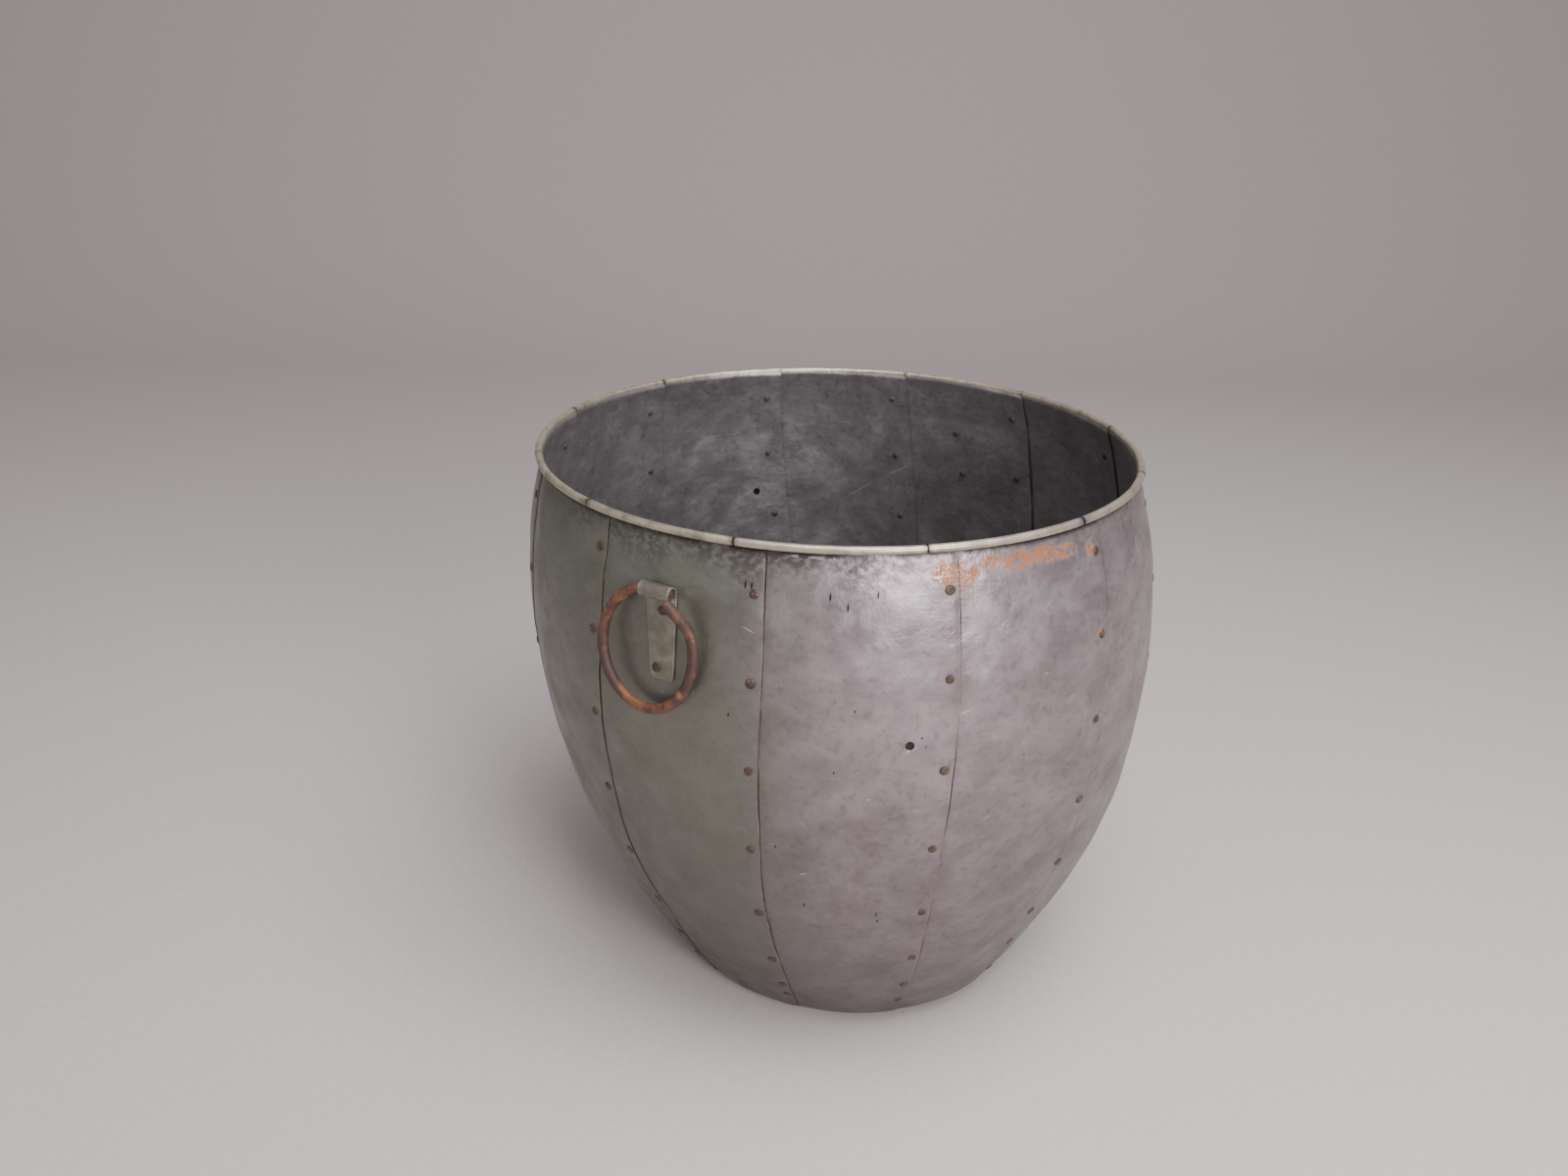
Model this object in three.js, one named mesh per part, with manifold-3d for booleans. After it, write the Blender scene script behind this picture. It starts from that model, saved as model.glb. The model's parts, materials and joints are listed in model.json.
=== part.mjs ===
// Florist bucket: a big riveted sheet-steel vessel.
// Twelve tall gores overlap like shingles and are riveted down their laps. Their top edges are
// curled outward round a rim wire, and their feet overlap a dished base pan. Two open rings hang
// in rolled hangers on opposite sides. Millimetres, +Z up. The origin is the centre of the flat
// underside, and the ring handles hang on the +X and -X sides.
import * as THREE from 'three';
import { mergeVertices } from 'three/addons/utils/BufferGeometryUtils.js';
import Module from 'manifold-3d';

// ---- Driving dimensions ----------------------------------------------------------------------
const rimRadius = 295.9; // centre line of the rim wire
const rimHeight = 569.5;
const wireRadius = 2.1;
const wireSides = 6;
const sheet = 1.2; // thickness of the gore sheet
const gap = 0.3; // air left between touching pieces
const curlRadius = 2.4; // inside of the curl round the wire
const curlEnd = -95; // degrees, where the curl's free edge stops

// Outline of the vessel: radius of the gores' outer face at each height.
const outlineHeights = [14, 53, 89, 157, 226, 295, 363, 432, 501, 545, 564];
const outlineRadii = [197, 220.5, 239.5, 270.5, 294.5, 308.5, 316.5, 316, 309, 299, 293];
// The hand-built vessel isn't quite true: its centre line drifts sideways as it rises.
const leanX = -0.0228;
const leanY = 0.0433;
// Its gores also turn a little clockwise, seen from above, on their way down to the pan.
const twist = -3; // degrees, reached at twistFoot
const twistFoot = 200;

const goreCount = 12;
const gorePitch = 360 / goreCount;
const lapWidth = 5; // degrees of overlap at each seam
const rivetInLap = 3.5; // degrees from the hidden edge to the rivet line
const facet = 5; // degrees between the stations of every round piece
const seamTurn = 0.7; // degrees that the rivet lines stand past halfway between the handles
const firstStation = gorePitch / 2 - rivetInLap + seamTurn;
const facetTurn = firstStation % facet; // brings a round piece's stations in line with the gores'
const goreFoot = 14;
const neckHeight = 564; // the laps end here, and the sheet above turns into the curl
const seatFacet = [416, 518]; // the hangers sit on the flat facets between these heights
const wallHeights = [goreFoot, 56, 120, 190, 262, 340, ...seatFacet, neckHeight];
const curlSteps = 6;
const curlTrim = 0.05; // degrees taken off each end of a curl
const holeDepth = 16; // of the cutters that pierce the sheets

const panSheet = 1.5;
const panInset = 1.8; // from the gores' outline in to the pan's outer face
const panTop = 56;
const footRadius = 165; // flat disc that the vessel stands on
const panTurn = [[181, 3], [190, 8.5]]; // the pan's round turn between foot and flange

const rivetRows = [536, 378]; // seam rivets at the neck and at the belly
const panRivetHeight = 46;
const rivetHead = 4.2; // radius, as are the shank and the tail
const rivetShank = 2.2;
const rivetTail = 3.5;
const headRise = 1.3; // thickness of the head, and of the tail below
const headFlat = 0.75; // share of the head that its flat top takes
const tailRise = 1.2;
const tailFlat = 0.7;
const rivetSides = 6;
const panGrip = 4.6; // from the lap's outer face to the inner face of the pan behind it

const hangerAxisHeight = 520;
const sleeveBore = 5.3;
const sleeveSteps = 12;
const sleeveEnd = -110; // degrees, where the strap's free end stops under the sleeve
const strap = 1.4; // thickness of the hanger's strap
const sleeveLength = 31;
const strapFootWidth = 23.5; // the strap widens from here to the sleeve's length
const strapFoot = 440;
const strapCorner = 5; // corners clipped off the strap's foot
const hangerRivets = [[2, 502], [-5, 450]]; // to the side of the hanger's middle, and height
const hangerSeat = 0.5; // from the gore to the back of the hanger
const flatSlack = 0.6; // the flat facets lie this far inside the true round

const rodRadius = 4.75;
const ringDrop = 105.8; // from the hinge axis to the rod's centre at the bottom
const ringHalfWidth = 46.5;
const ringShift = -7.6; // the ring hangs a little to one side of its hanger
const rodStraight = [13, 0, -12, -17.5]; // points along the stretch that turns in the sleeve
const ringStart = 30; // degrees round the oval, where the rod leaves the straight stretch
const ringEnd = 329; // degrees round the oval, from the sleeve to the ring's cut end
const endLift = 4; // the oval's closing side rises this far above the hinge axis
const endBend = 45; // degrees of the oval over which the cut end turns outward
const endOut = 11.8; // how far it turns, clear of the sleeve
const ringRest = 0.8; // air between the hanging ring and the belly
const ovalPoints = 14; // steps between the points that shape the oval
const ringSteps = 40; // lengths of rod that the ring is built from
const rodSegments = 4; // per half turn of the rod's section

// ---- Finishes --------------------------------------------------------------------------------
const galvanised = new THREE.MeshStandardMaterial({ color: '#8f898a', metalness: 0.7, roughness: 0.55 });
const paleBase = new THREE.MeshStandardMaterial({ color: '#7d7876', metalness: 0.7, roughness: 0.6 });
const bareWire = new THREE.MeshStandardMaterial({ color: '#6a625c', metalness: 0.8, roughness: 0.6 });
const rivetIron = new THREE.MeshStandardMaterial({ color: '#5b463c', metalness: 0.5, roughness: 0.7 });
const rustyRod = new THREE.MeshStandardMaterial({ color: '#9a5a38', metalness: 0.4, roughness: 0.7 });
const hangerSteel = new THREE.MeshStandardMaterial({ color: '#7f7a70', metalness: 0.6, roughness: 0.6 });

// ---- Shared geometry -------------------------------------------------------------------------
const wasm = await Module();
wasm.setup();
const outline = new THREE.CubicInterpolant(outlineHeights, outlineRadii, 1, new Float64Array(1));
const radians = THREE.MathUtils.degToRad;

function wallRadius(height) {
  return outline.evaluate(height)[0];
}

// A point of the upright vessel from its azimuth in degrees, its radius and its height.
function onVessel(azimuth, radius, height) {
  const turned = twist * (1 - THREE.MathUtils.smoothstep(height, twistFoot, neckHeight));
  const angle = radians(azimuth + turned);
  return new THREE.Vector3(radius * Math.cos(angle), radius * Math.sin(angle), height);
}

// Each gore drifts outward across its width, so that its far edge covers the next gore's edge.
function shingleRise(across) {
  return (sheet + gap) * across / gorePitch;
}

function weld(geometry) {
  geometry.deleteAttribute('normal');
  geometry.deleteAttribute('uv');
  return mergeVertices(geometry, 1e-4);
}

function toSolid(geometry) {
  const welded = weld(geometry);
  const vertProperties = new Float32Array(welded.attributes.position.array);
  const corners = [...welded.index.array];
  const triVerts = [];
  for (let i = 0; i < corners.length; i += 3) {
    const [a, b, c] = corners.slice(i, i + 3);
    if (a !== b && b !== c && c !== a) triVerts.push(a, b, c);
  }
  const mesh = new wasm.Mesh({ numProp: 3, vertProperties, triVerts: new Uint32Array(triVerts) });
  return new wasm.Manifold(mesh);
}

function toGeometry(solid) {
  const mesh = solid.getMesh();
  const geometry = new THREE.BufferGeometry();
  geometry.setAttribute('position', new THREE.BufferAttribute(mesh.vertProperties, 3));
  geometry.setIndex(new THREE.BufferAttribute(mesh.triVerts, 1));
  return geometry;
}

function cut(geometry, cutters) {
  let solid = toSolid(geometry);
  for (const cutter of cutters) solid = solid.subtract(toSolid(cutter));
  return toGeometry(solid);
}

// A turned solid about +Z from points [radius, height] that start and end on the axis.
function turned(profile, segments) {
  const points = profile.map(([radius, height]) => new THREE.Vector2(radius, height));
  const geometry = new THREE.LatheGeometry(points, segments);
  geometry.rotateX(Math.PI / 2);
  return toGeometry(toSolid(geometry));
}

// ---- Gores -----------------------------------------------------------------------------------
// The face that looks outward on the wall, and touches the wire in the curl.
function wallPath() {
  return wallHeights.map((height) => new THREE.Vector2(wallRadius(height), height));
}

function curlPath() {
  const points = [];
  for (let i = 0; i <= curlSteps; i += 1) {
    const angle = radians(THREE.MathUtils.lerp(180, curlEnd, i / curlSteps));
    const radius = rimRadius + curlRadius * Math.cos(angle);
    points.push(new THREE.Vector2(radius, rimHeight + curlRadius * Math.sin(angle)));
  }
  return points;
}

// The other face of a sheet, a full thickness to the left of the path.
function otherFace(path, thickness) {
  return path.map((point, i) => {
    const before = path[Math.max(i - 1, 0)];
    const after = path[Math.min(i + 1, path.length - 1)];
    const along = after.clone().sub(before).normalize();
    return new THREE.Vector2(point.x - along.y * thickness, point.y + along.x * thickness);
  });
}

function goreVertex(point, across) {
  if (point.y <= neckHeight + sheet) {
    return onVessel(across, point.x + shingleRise(across), point.y);
  }
  const inset = curlTrim + across * (gorePitch - 2 * curlTrim) / gorePitch;
  return onVessel(inset, point.x, point.y);
}

function capTriangles(loop) {
  return THREE.ShapeUtils.triangulateShape(loop, []);
}

function goreBlank() {
  const outer = [...wallPath(), ...curlPath()];
  const inner = otherFace(outer, sheet);
  const wallCount = wallHeights.length;
  const full = [...outer, ...inner.slice().reverse()];
  const lap = [...outer.slice(0, wallCount), ...inner.slice(0, wallCount).reverse()];
  const curl = [...outer.slice(wallCount - 1), ...inner.slice(wallCount - 1).reverse()];
  const corners = [];
  const face = (...points) => points.forEach((point) => corners.push(point.x, point.y, point.z));
  const band = (loop, from, to) => {
    loop.forEach((point, i) => {
      const next = loop[(i + 1) % loop.length];
      const [a, b] = [goreVertex(point, from), goreVertex(next, from)];
      const [c, d] = [goreVertex(next, to), goreVertex(point, to)];
      face(a, c, b);
      face(a, d, c);
    });
  };
  const cap = (loop, across, facesBack) => {
    for (const triangle of capTriangles(loop)) {
      const [a, b, c] = triangle.map((i) => goreVertex(loop[i], across));
      if (facesBack) face(a, b, c);
      else face(a, c, b);
    }
  };
  for (let across = 0; across < gorePitch; across += facet) band(full, across, across + facet);
  band(lap, gorePitch, gorePitch + lapWidth);
  cap(full, 0, true);
  cap(curl, gorePitch, false);
  cap(lap, gorePitch + lapWidth, false);
  const geometry = new THREE.BufferGeometry();
  geometry.setAttribute('position', new THREE.BufferAttribute(new Float32Array(corners), 3));
  return weld(geometry);
}

// A frame on one flat facet of the gores' outer face: its Z axis points out of the sheet.
function facetFrame(across, height) {
  const left = Math.floor(across / facet) * facet;
  const upper = wallHeights.findIndex((level) => level > height);
  const [low, high] = [wallHeights[upper - 1], wallHeights[upper]];
  const corner = (station, level) => {
    return onVessel(station, wallRadius(level) + shingleRise(station), level);
  };
  const sideways = (across - left) / facet;
  const upward = (height - low) / (high - low);
  const below = corner(left, low).lerp(corner(left + facet, low), sideways);
  const above = corner(left, high).lerp(corner(left + facet, high), sideways);
  const along = corner(left + facet, low).sub(corner(left, low)).normalize();
  const normal = along.clone().cross(above.clone().sub(below)).normalize();
  const rise = normal.clone().cross(along);
  const frame = new THREE.Matrix4().makeBasis(along, rise, normal);
  return frame.setPosition(below.lerp(above, upward));
}

function holeCutter(frame) {
  const radius = (rivetShank + gap) / Math.cos(Math.PI / rivetSides);
  const cutter = new THREE.CylinderGeometry(radius, radius, holeDepth, rivetSides);
  cutter.rotateX(Math.PI / 2);
  return cutter.applyMatrix4(frame);
}

const lapRivetAcross = gorePitch + rivetInLap;
const turnBack = new THREE.Matrix4().makeRotationZ(-radians(gorePitch));
const seamFrames = rivetRows.map((height) => facetFrame(lapRivetAcross, height));
const panRivetFrame = facetFrame(lapRivetAcross, panRivetHeight);

function goreWithHoles(extraFrames) {
  const lapFrames = [...seamFrames, panRivetFrame];
  const hiddenFrames = lapFrames.map((frame) => turnBack.clone().multiply(frame));
  return cut(goreBlank(), [...lapFrames, ...hiddenFrames, ...extraFrames].map(holeCutter));
}

// ---- Rim wire and base pan -------------------------------------------------------------------
function rimWire() {
  const geometry = new THREE.TorusGeometry(rimRadius, wireRadius, wireSides, 360 / facet);
  geometry.rotateZ(radians(facetTurn));
  geometry.translate(0, 0, rimHeight);
  return weld(geometry);
}

function basePan() {
  const flange = [goreFoot, panTop].map((height) => [wallRadius(height) - panInset, height]);
  const outer = [[0, 0], [footRadius, 0], ...panTurn, ...flange];
  const path = outer.map(([radius, height]) => new THREE.Vector2(radius, height));
  const inner = otherFace(path, panSheet).reverse().map((point) => [point.x, point.y]);
  const geometry = turned([...outer, ...inner], 360 / facet);
  geometry.rotateZ(radians(facetTurn + twist));
  const holes = [];
  for (let i = 0; i < goreCount; i += 1) {
    const turn = new THREE.Matrix4().makeRotationZ(radians(firstStation + i * gorePitch));
    holes.push(holeCutter(turn.multiply(panRivetFrame)));
  }
  return cut(geometry, holes);
}

// ---- Rivets ----------------------------------------------------------------------------------
// A rivet about +Z: its head lies just above Z = 0 and its tail under the grip.
function rivet(grip) {
  const under = -grip - gap;
  const profile = [
    [0, under - tailRise],
    [rivetTail * tailFlat, under - tailRise],
    [rivetTail, under],
    [rivetShank, under],
    [rivetShank, gap],
    [rivetHead, gap],
    [rivetHead * headFlat, gap + headRise],
    [0, gap + headRise],
  ];
  return turned(profile, rivetSides);
}

// ---- Hangers and rings -----------------------------------------------------------------------
// Both are made for the handle on +X: X points out of the wall, Y to the right as seen from
// outside, and heights are the vessel's own.
const handleAcross = gorePitch / 2 + rivetInLap - seamTurn;
const hangerRise = shingleRise(handleAcross);

function seatRadius(height) {
  const [low, high] = seatFacet;
  const seat = THREE.MathUtils.mapLinear(height, low, high, wallRadius(low), wallRadius(high));
  return seat + hangerRise;
}

const strapFront = hangerSeat + strap;
const axisRadius = seatRadius(hangerAxisHeight) + strapFront + sleeveBore;

function hangerSection() {
  const start = strapFoot - strapCorner; // past the foot, which the outline trims
  const path = [new THREE.Vector2(seatRadius(start) + strapFront, start)];
  for (let i = 0; i <= sleeveSteps; i += 1) {
    const angle = radians(THREE.MathUtils.lerp(180, sleeveEnd, i / sleeveSteps));
    const out = axisRadius + sleeveBore * Math.cos(angle);
    path.push(new THREE.Vector2(out, hangerAxisHeight + sleeveBore * Math.sin(angle)));
  }
  return new THREE.Shape([...path, ...otherFace(path, strap).reverse()]);
}

function hangerOutline() {
  const half = strapFootWidth / 2;
  const wide = sleeveLength / 2;
  const neck = hangerAxisHeight - sleeveBore - strap;
  const outline = new THREE.Shape();
  outline.moveTo(-half + strapCorner, strapFoot);
  outline.lineTo(half - strapCorner, strapFoot);
  outline.lineTo(half, strapFoot + strapCorner);
  outline.lineTo(wide, neck);
  outline.lineTo(wide, rimHeight);
  outline.lineTo(-wide, rimHeight);
  outline.lineTo(-wide, neck);
  outline.lineTo(-half, strapFoot + strapCorner);
  return outline;
}

const strapLean = Math.atan2(
  seatRadius(strapFoot) - seatRadius(hangerAxisHeight),
  hangerAxisHeight - strapFoot,
);
const hangerFrames = hangerRivets.map(([sideways, height]) => {
  const frame = new THREE.Matrix4().makeRotationY(Math.PI / 2 - strapLean);
  return frame.setPosition(seatRadius(height) + strapFront, sideways, height);
});

function hanger() {
  const depth = 2 * sleeveLength;
  const rolled = new THREE.ExtrudeGeometry(hangerSection(), { depth, bevelEnabled: false });
  rolled.rotateX(Math.PI / 2);
  rolled.translate(0, depth / 2, 0);
  const tee = new THREE.ExtrudeGeometry(hangerOutline(), { depth: 4 * depth, bevelEnabled: false });
  tee.rotateX(Math.PI / 2);
  tee.rotateZ(Math.PI / 2);
  tee.translate(axisRadius - 2 * depth, 0, 0);
  let solid = toSolid(rolled).intersect(toSolid(tee));
  for (const frame of hangerFrames) solid = solid.subtract(toSolid(holeCutter(frame)));
  return toGeometry(solid);
}

// The ring's rod: straight through the sleeve, then round a tall oval to its cut end.
function ringPath() {
  const points = rodStraight.map((y) => new THREE.Vector3(0, y, 0));
  for (let i = 0; i <= ovalPoints; i += 1) {
    const degrees = THREE.MathUtils.lerp(ringStart, ringEnd, i / ovalPoints);
    const lift = degrees < 180 ? 0 : endLift;
    const y = ringShift - ringHalfWidth * Math.sin(radians(degrees));
    const z = lift - (ringDrop + lift) / 2 * (1 - Math.cos(radians(degrees)));
    const x = endOut * THREE.MathUtils.smoothstep(degrees, ringEnd - endBend, ringEnd);
    points.push(new THREE.Vector3(x, y, z));
  }
  return new THREE.CatmullRomCurve3(points);
}

function ringHandle() {
  const section = new THREE.Shape();
  section.absarc(0, 0, rodRadius, 0, 2 * Math.PI);
  const sweep = { steps: ringSteps, curveSegments: rodSegments, extrudePath: ringPath() };
  return weld(new THREE.ExtrudeGeometry(section, { ...sweep, bevelEnabled: false }));
}

// Angle that the hanging ring leans outward, resting against the belly.
function restLean(outward) {
  const bottom = hangerAxisHeight - ringDrop;
  const belly = wallRadius(bottom) + hangerRise + rodRadius + ringRest;
  const drift = outward * leanX * ringDrop;
  return Math.atan2(belly - drift - axisRadius, ringDrop);
}

// ---- Assembly --------------------------------------------------------------------------------
function part(name, geometry, material) {
  const mesh = new THREE.Mesh(geometry, material);
  mesh.name = name;
  return mesh;
}

function numbered(stem, index) {
  return `${stem}_${String(index + 1).padStart(2, '0')}`;
}

// Everything fixed stands in one group, slanted along the vessel's leaning centre line.
const vessel = new THREE.Group();
vessel.matrixAutoUpdate = false;
vessel.matrix.set(1, 0, leanX, 0, 0, 1, leanY, 0, 0, 0, 1, 0, 0, 0, 0, 1);

const turnToHandle = new THREE.Matrix4().makeRotationZ(radians(handleAcross));
const handleFrames = hangerFrames.map((frame) => turnToHandle.clone().multiply(frame));
const plainGore = goreWithHoles([]);
const handleGore = goreWithHoles(handleFrames);
const handleGores = [goreCount / 2 - 1, goreCount - 1];
const rowNames = ['neck_rivet', 'belly_rivet'];
const seamRivet = rivet(2 * sheet + gap);
const panRivet = rivet(panGrip);

for (let i = 0; i < goreCount; i += 1) {
  const bay = new THREE.Group();
  bay.rotation.z = radians(firstStation + i * gorePitch);
  bay.add(part(numbered('gore', i), handleGores.includes(i) ? handleGore : plainGore, galvanised));
  seamFrames.forEach((frame, row) => {
    const piece = part(numbered(rowNames[row], i), seamRivet, rivetIron);
    piece.applyMatrix4(frame);
    bay.add(piece);
  });
  const foot = part(numbered('pan_rivet', i), panRivet, rivetIron);
  foot.applyMatrix4(panRivetFrame);
  bay.add(foot);
  vessel.add(bay);
}
vessel.add(part('rim_wire', rimWire(), bareWire));
vessel.add(part('base_pan', basePan(), paleBase));

const bucket = new THREE.Group();
bucket.add(vessel);
const hangerShape = hanger();
const hangerRivet = rivet(strap + hangerSeat + sheet + flatSlack);
const ringShape = ringHandle();
const sides = [['right', 1], ['left', -1]];
for (const [side, outward] of sides) {
  const bay = new THREE.Group();
  bay.rotation.z = outward > 0 ? 0 : Math.PI;
  bay.add(part(`hanger_${side}`, hangerShape, hangerSteel));
  hangerFrames.forEach((frame, i) => {
    const piece = part(`hanger_rivet_${side}_${i + 1}`, hangerRivet, rivetIron);
    piece.applyMatrix4(frame);
    bay.add(piece);
  });
  vessel.add(bay);
  const ring = part(`ring_handle_${side}`, ringShape, rustyRod);
  const turn = new THREE.Matrix4().makeRotationZ(bay.rotation.z);
  const rest = new THREE.Matrix4().makeRotationY(-restLean(outward));
  const hinge = new THREE.Vector3(axisRadius, 0, hangerAxisHeight).applyMatrix4(turn);
  hinge.x += leanX * hangerAxisHeight;
  hinge.y += leanY * hangerAxisHeight;
  ring.applyMatrix4(turn.multiply(rest).setPosition(hinge));
  bucket.add(ring);
}

export default bucket;
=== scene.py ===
"""Looks of a big riveted sheet-steel florist bucket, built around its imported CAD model.

Twelve hand-beaten gores overlap like shingles, their tops roll over a rim wire, and their feet
overlap a dished base pan. Two rusty rings hang in rolled hangers. Everything is in metres, in the
frame of the CAD model: +Z up, the origin in the middle of the flat underside.
"""

import json
import logging
import math
from dataclasses import dataclass, field
from enum import Enum

import bpy
import numpy as np
from mathutils import Matrix, Vector


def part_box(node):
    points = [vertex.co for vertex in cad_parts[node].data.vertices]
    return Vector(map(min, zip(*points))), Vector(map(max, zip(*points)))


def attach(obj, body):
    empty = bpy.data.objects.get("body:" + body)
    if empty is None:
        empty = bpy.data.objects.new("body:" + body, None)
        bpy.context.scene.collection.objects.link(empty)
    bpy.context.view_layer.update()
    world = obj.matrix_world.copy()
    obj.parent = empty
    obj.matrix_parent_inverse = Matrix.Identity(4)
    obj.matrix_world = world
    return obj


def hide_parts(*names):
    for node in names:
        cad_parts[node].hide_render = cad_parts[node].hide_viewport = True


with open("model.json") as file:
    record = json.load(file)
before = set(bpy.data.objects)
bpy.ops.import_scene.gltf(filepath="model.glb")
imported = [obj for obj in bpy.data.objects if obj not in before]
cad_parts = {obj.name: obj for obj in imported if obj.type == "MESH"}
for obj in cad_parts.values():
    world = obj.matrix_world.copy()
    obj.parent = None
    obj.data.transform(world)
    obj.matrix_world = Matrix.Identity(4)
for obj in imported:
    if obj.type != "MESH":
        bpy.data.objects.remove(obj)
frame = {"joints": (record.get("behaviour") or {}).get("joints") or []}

LOG = logging.getLogger("florist_bucket")
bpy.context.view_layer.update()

MM = 0.001
SEED = 11
GORES = 12
PITCH = 360 / GORES  # degrees from seam to seam
LAP = 5.0  # degrees that each gore covers of the next
RIVET_IN_LAP = 3.5  # degrees from a gore's hidden edge to the rivets
SEAM_TURN = 0.7  # degrees that the rivet lines stand past halfway between the handles
FIRST_EDGE = PITCH / 2 - RIVET_IN_LAP + SEAM_TURN  # azimuth of the first gore's hidden edge
SHEET = 1.2 * MM
LAP_AIR = 0.3 * MM
RIVET_ROWS = tuple(h * MM for h in (536, 461, 378, 293, 212, 137, 84))
PAN_RIVET_HEIGHT = 46 * MM
STRAY_HOLE = (-141.3, 404.6, 3.3)  # azimuth in degrees, height and radius in millimetres

Array = np.ndarray
Faces = list[tuple[int, ...]]


# ---- Small helpers ---------------------------------------------------------------------------
def smoothstep(low: float, high: float, value: Array) -> Array:
    """Rises smoothly from 0 at low to 1 at high.

    Args:
        low: Where the step starts.
        high: Where the step ends.
        value: The values to step.

    Returns:
        The steps, from 0 to 1.
    """
    t = np.clip((np.asarray(value, float) - low) / (high - low), 0, 1)
    return t * t * (3 - 2 * t)


def linear(hex_colour: str) -> tuple[float, float, float, float]:
    """Turns an sRGB hex colour into the linear colour that a shader takes.

    Args:
        hex_colour: Six hex digits, such as "8f8a8c".

    Returns:
        Linear red, green and blue, and an alpha of 1.
    """
    parts = [int(hex_colour[i : i + 2], 16) / 255 for i in (0, 2, 4)]
    tones = [c / 12.92 if c <= 0.04045 else ((c + 0.055) / 1.055) ** 2.4 for c in parts]
    return (*tones, 1.0)


def add(
    tree: bpy.types.NodeTree,
    kind: str,
    inputs: dict[str | int, object] | None = None,
    **settings: object,
) -> bpy.types.Node:
    """Adds one node with its settings, and fills its inputs.

    Args:
        tree: The shader or geometry tree.
        kind: The node's type.
        inputs: Values, or sockets to link from, by input name or number.
        **settings: The node's own properties.

    Returns:
        The new node.
    """
    node = tree.nodes.new(kind)
    for name, value in settings.items():
        setattr(node, name, value)
    for key, value in (inputs or {}).items():
        if isinstance(value, bpy.types.NodeSocket):
            tree.links.new(value, node.inputs[key])
        else:
            node.inputs[key].default_value = value
    return node


def make_piece(name: str, points: Array, faces: Faces) -> bpy.types.Object:
    """Makes a mesh object, smooth but for its sharp edges.

    Args:
        name: The piece's name.
        points: Corner positions, one row each.
        faces: Corner numbers of each face.

    Returns:
        The object, linked to the scene.
    """
    mesh = bpy.data.meshes.new(name)
    mesh.from_pydata(points.tolist(), [], faces)
    mesh.validate()
    piece = bpy.data.objects.new(name, mesh)
    bpy.context.scene.collection.objects.link(piece)
    smooth(piece)
    return piece


def smooth(piece: bpy.types.Object, angle: float = 40) -> None:
    """Shades a piece smooth, with sharp edges over an angle in degrees."""
    mesh = piece.data
    mesh.polygons.foreach_set("use_smooth", [True] * len(mesh.polygons))
    mesh.set_sharp_from_angle(angle=math.radians(angle))


def carry(piece: bpy.types.Object, name: str, values: Array) -> None:
    """Stores one value per point of a piece, for its material to read."""
    attribute = piece.data.attributes.new(name, "FLOAT", "POINT")
    attribute.data.foreach_set("value", np.asarray(values, np.float32))


def settle(piece: bpy.types.Object) -> bpy.types.Object:
    """Applies a piece's modifiers, and leaves it as a plain mesh.

    Args:
        piece: A mesh or curve object with modifiers.

    Returns:
        A mesh object of the same name, without modifiers.
    """
    depsgraph = bpy.context.evaluated_depsgraph_get()
    mesh = bpy.data.meshes.new_from_object(piece.evaluated_get(depsgraph), depsgraph=depsgraph)
    name = piece.name
    bpy.data.objects.remove(piece)
    mesh.name = name
    plain = bpy.data.objects.new(name, mesh)
    bpy.context.scene.collection.objects.link(plain)
    return plain


def start_tree(name: str, inputs: tuple[str, ...]) -> tuple[bpy.types.NodeTree, bpy.types.NodeOutputs]:
    """Starts a geometry tree with geometry in and out, and inputs for its sizes.

    Args:
        name: The tree's name.
        inputs: Names of its sizes.

    Returns:
        The tree, and the sockets of what it's given.
    """
    tree = bpy.data.node_groups.new(name, "GeometryNodeTree")
    tree.interface.new_socket("Geometry", in_out="INPUT", socket_type="NodeSocketGeometry")
    for label in inputs:
        tree.interface.new_socket(label, in_out="INPUT", socket_type="NodeSocketFloat")
    tree.interface.new_socket("Geometry", in_out="OUTPUT", socket_type="NodeSocketGeometry")
    return tree, add(tree, "NodeGroupInput").outputs


def end_tree(
    tree: bpy.types.NodeTree,
    geometry: bpy.types.NodeSocket,
    offset: bpy.types.NodeSocket,
    material: bpy.types.Material,
) -> None:
    """Ends a geometry tree: unevenness, smooth shading, real geometry and a material.

    Args:
        tree: The geometry tree.
        geometry: What it made.
        offset: The hammered or forged unevenness of each point.
        material: The finish.
    """
    uneven = add(tree, "GeometryNodeSetPosition", {"Geometry": geometry, "Offset": offset})
    soft = add(tree, "GeometryNodeSetShadeSmooth", {"Geometry": uneven.outputs[0]})
    real = add(tree, "GeometryNodeRealizeInstances", {"Geometry": soft.outputs[0]})
    inputs = {"Geometry": real.outputs[0], "Material": material}
    dressed = add(tree, "GeometryNodeSetMaterial", inputs)
    add(tree, "NodeGroupOutput", {"Geometry": dressed.outputs[0]})


def grow(
    piece: bpy.types.Object,
    tree: bpy.types.NodeTree,
    sizes: dict[str, float],
    sharp: float,
) -> bpy.types.Object:
    """Runs a geometry tree on a piece, and leaves a plain mesh.

    Args:
        piece: A mesh or curve object.
        tree: The geometry tree.
        sizes: Its sizes, by the names of its inputs.
        sharp: Edges over this angle in degrees stay sharp.

    Returns:
        The mesh object.
    """
    modifier = piece.modifiers.new("tree", "NODES")
    modifier.node_group = tree
    for item in tree.interface.items_tree:
        if item.in_out == "INPUT" and item.name in sizes:
            modifier[item.identifier] = sizes[item.name]
    made = settle(piece)
    smooth(made, sharp)
    return made


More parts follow.
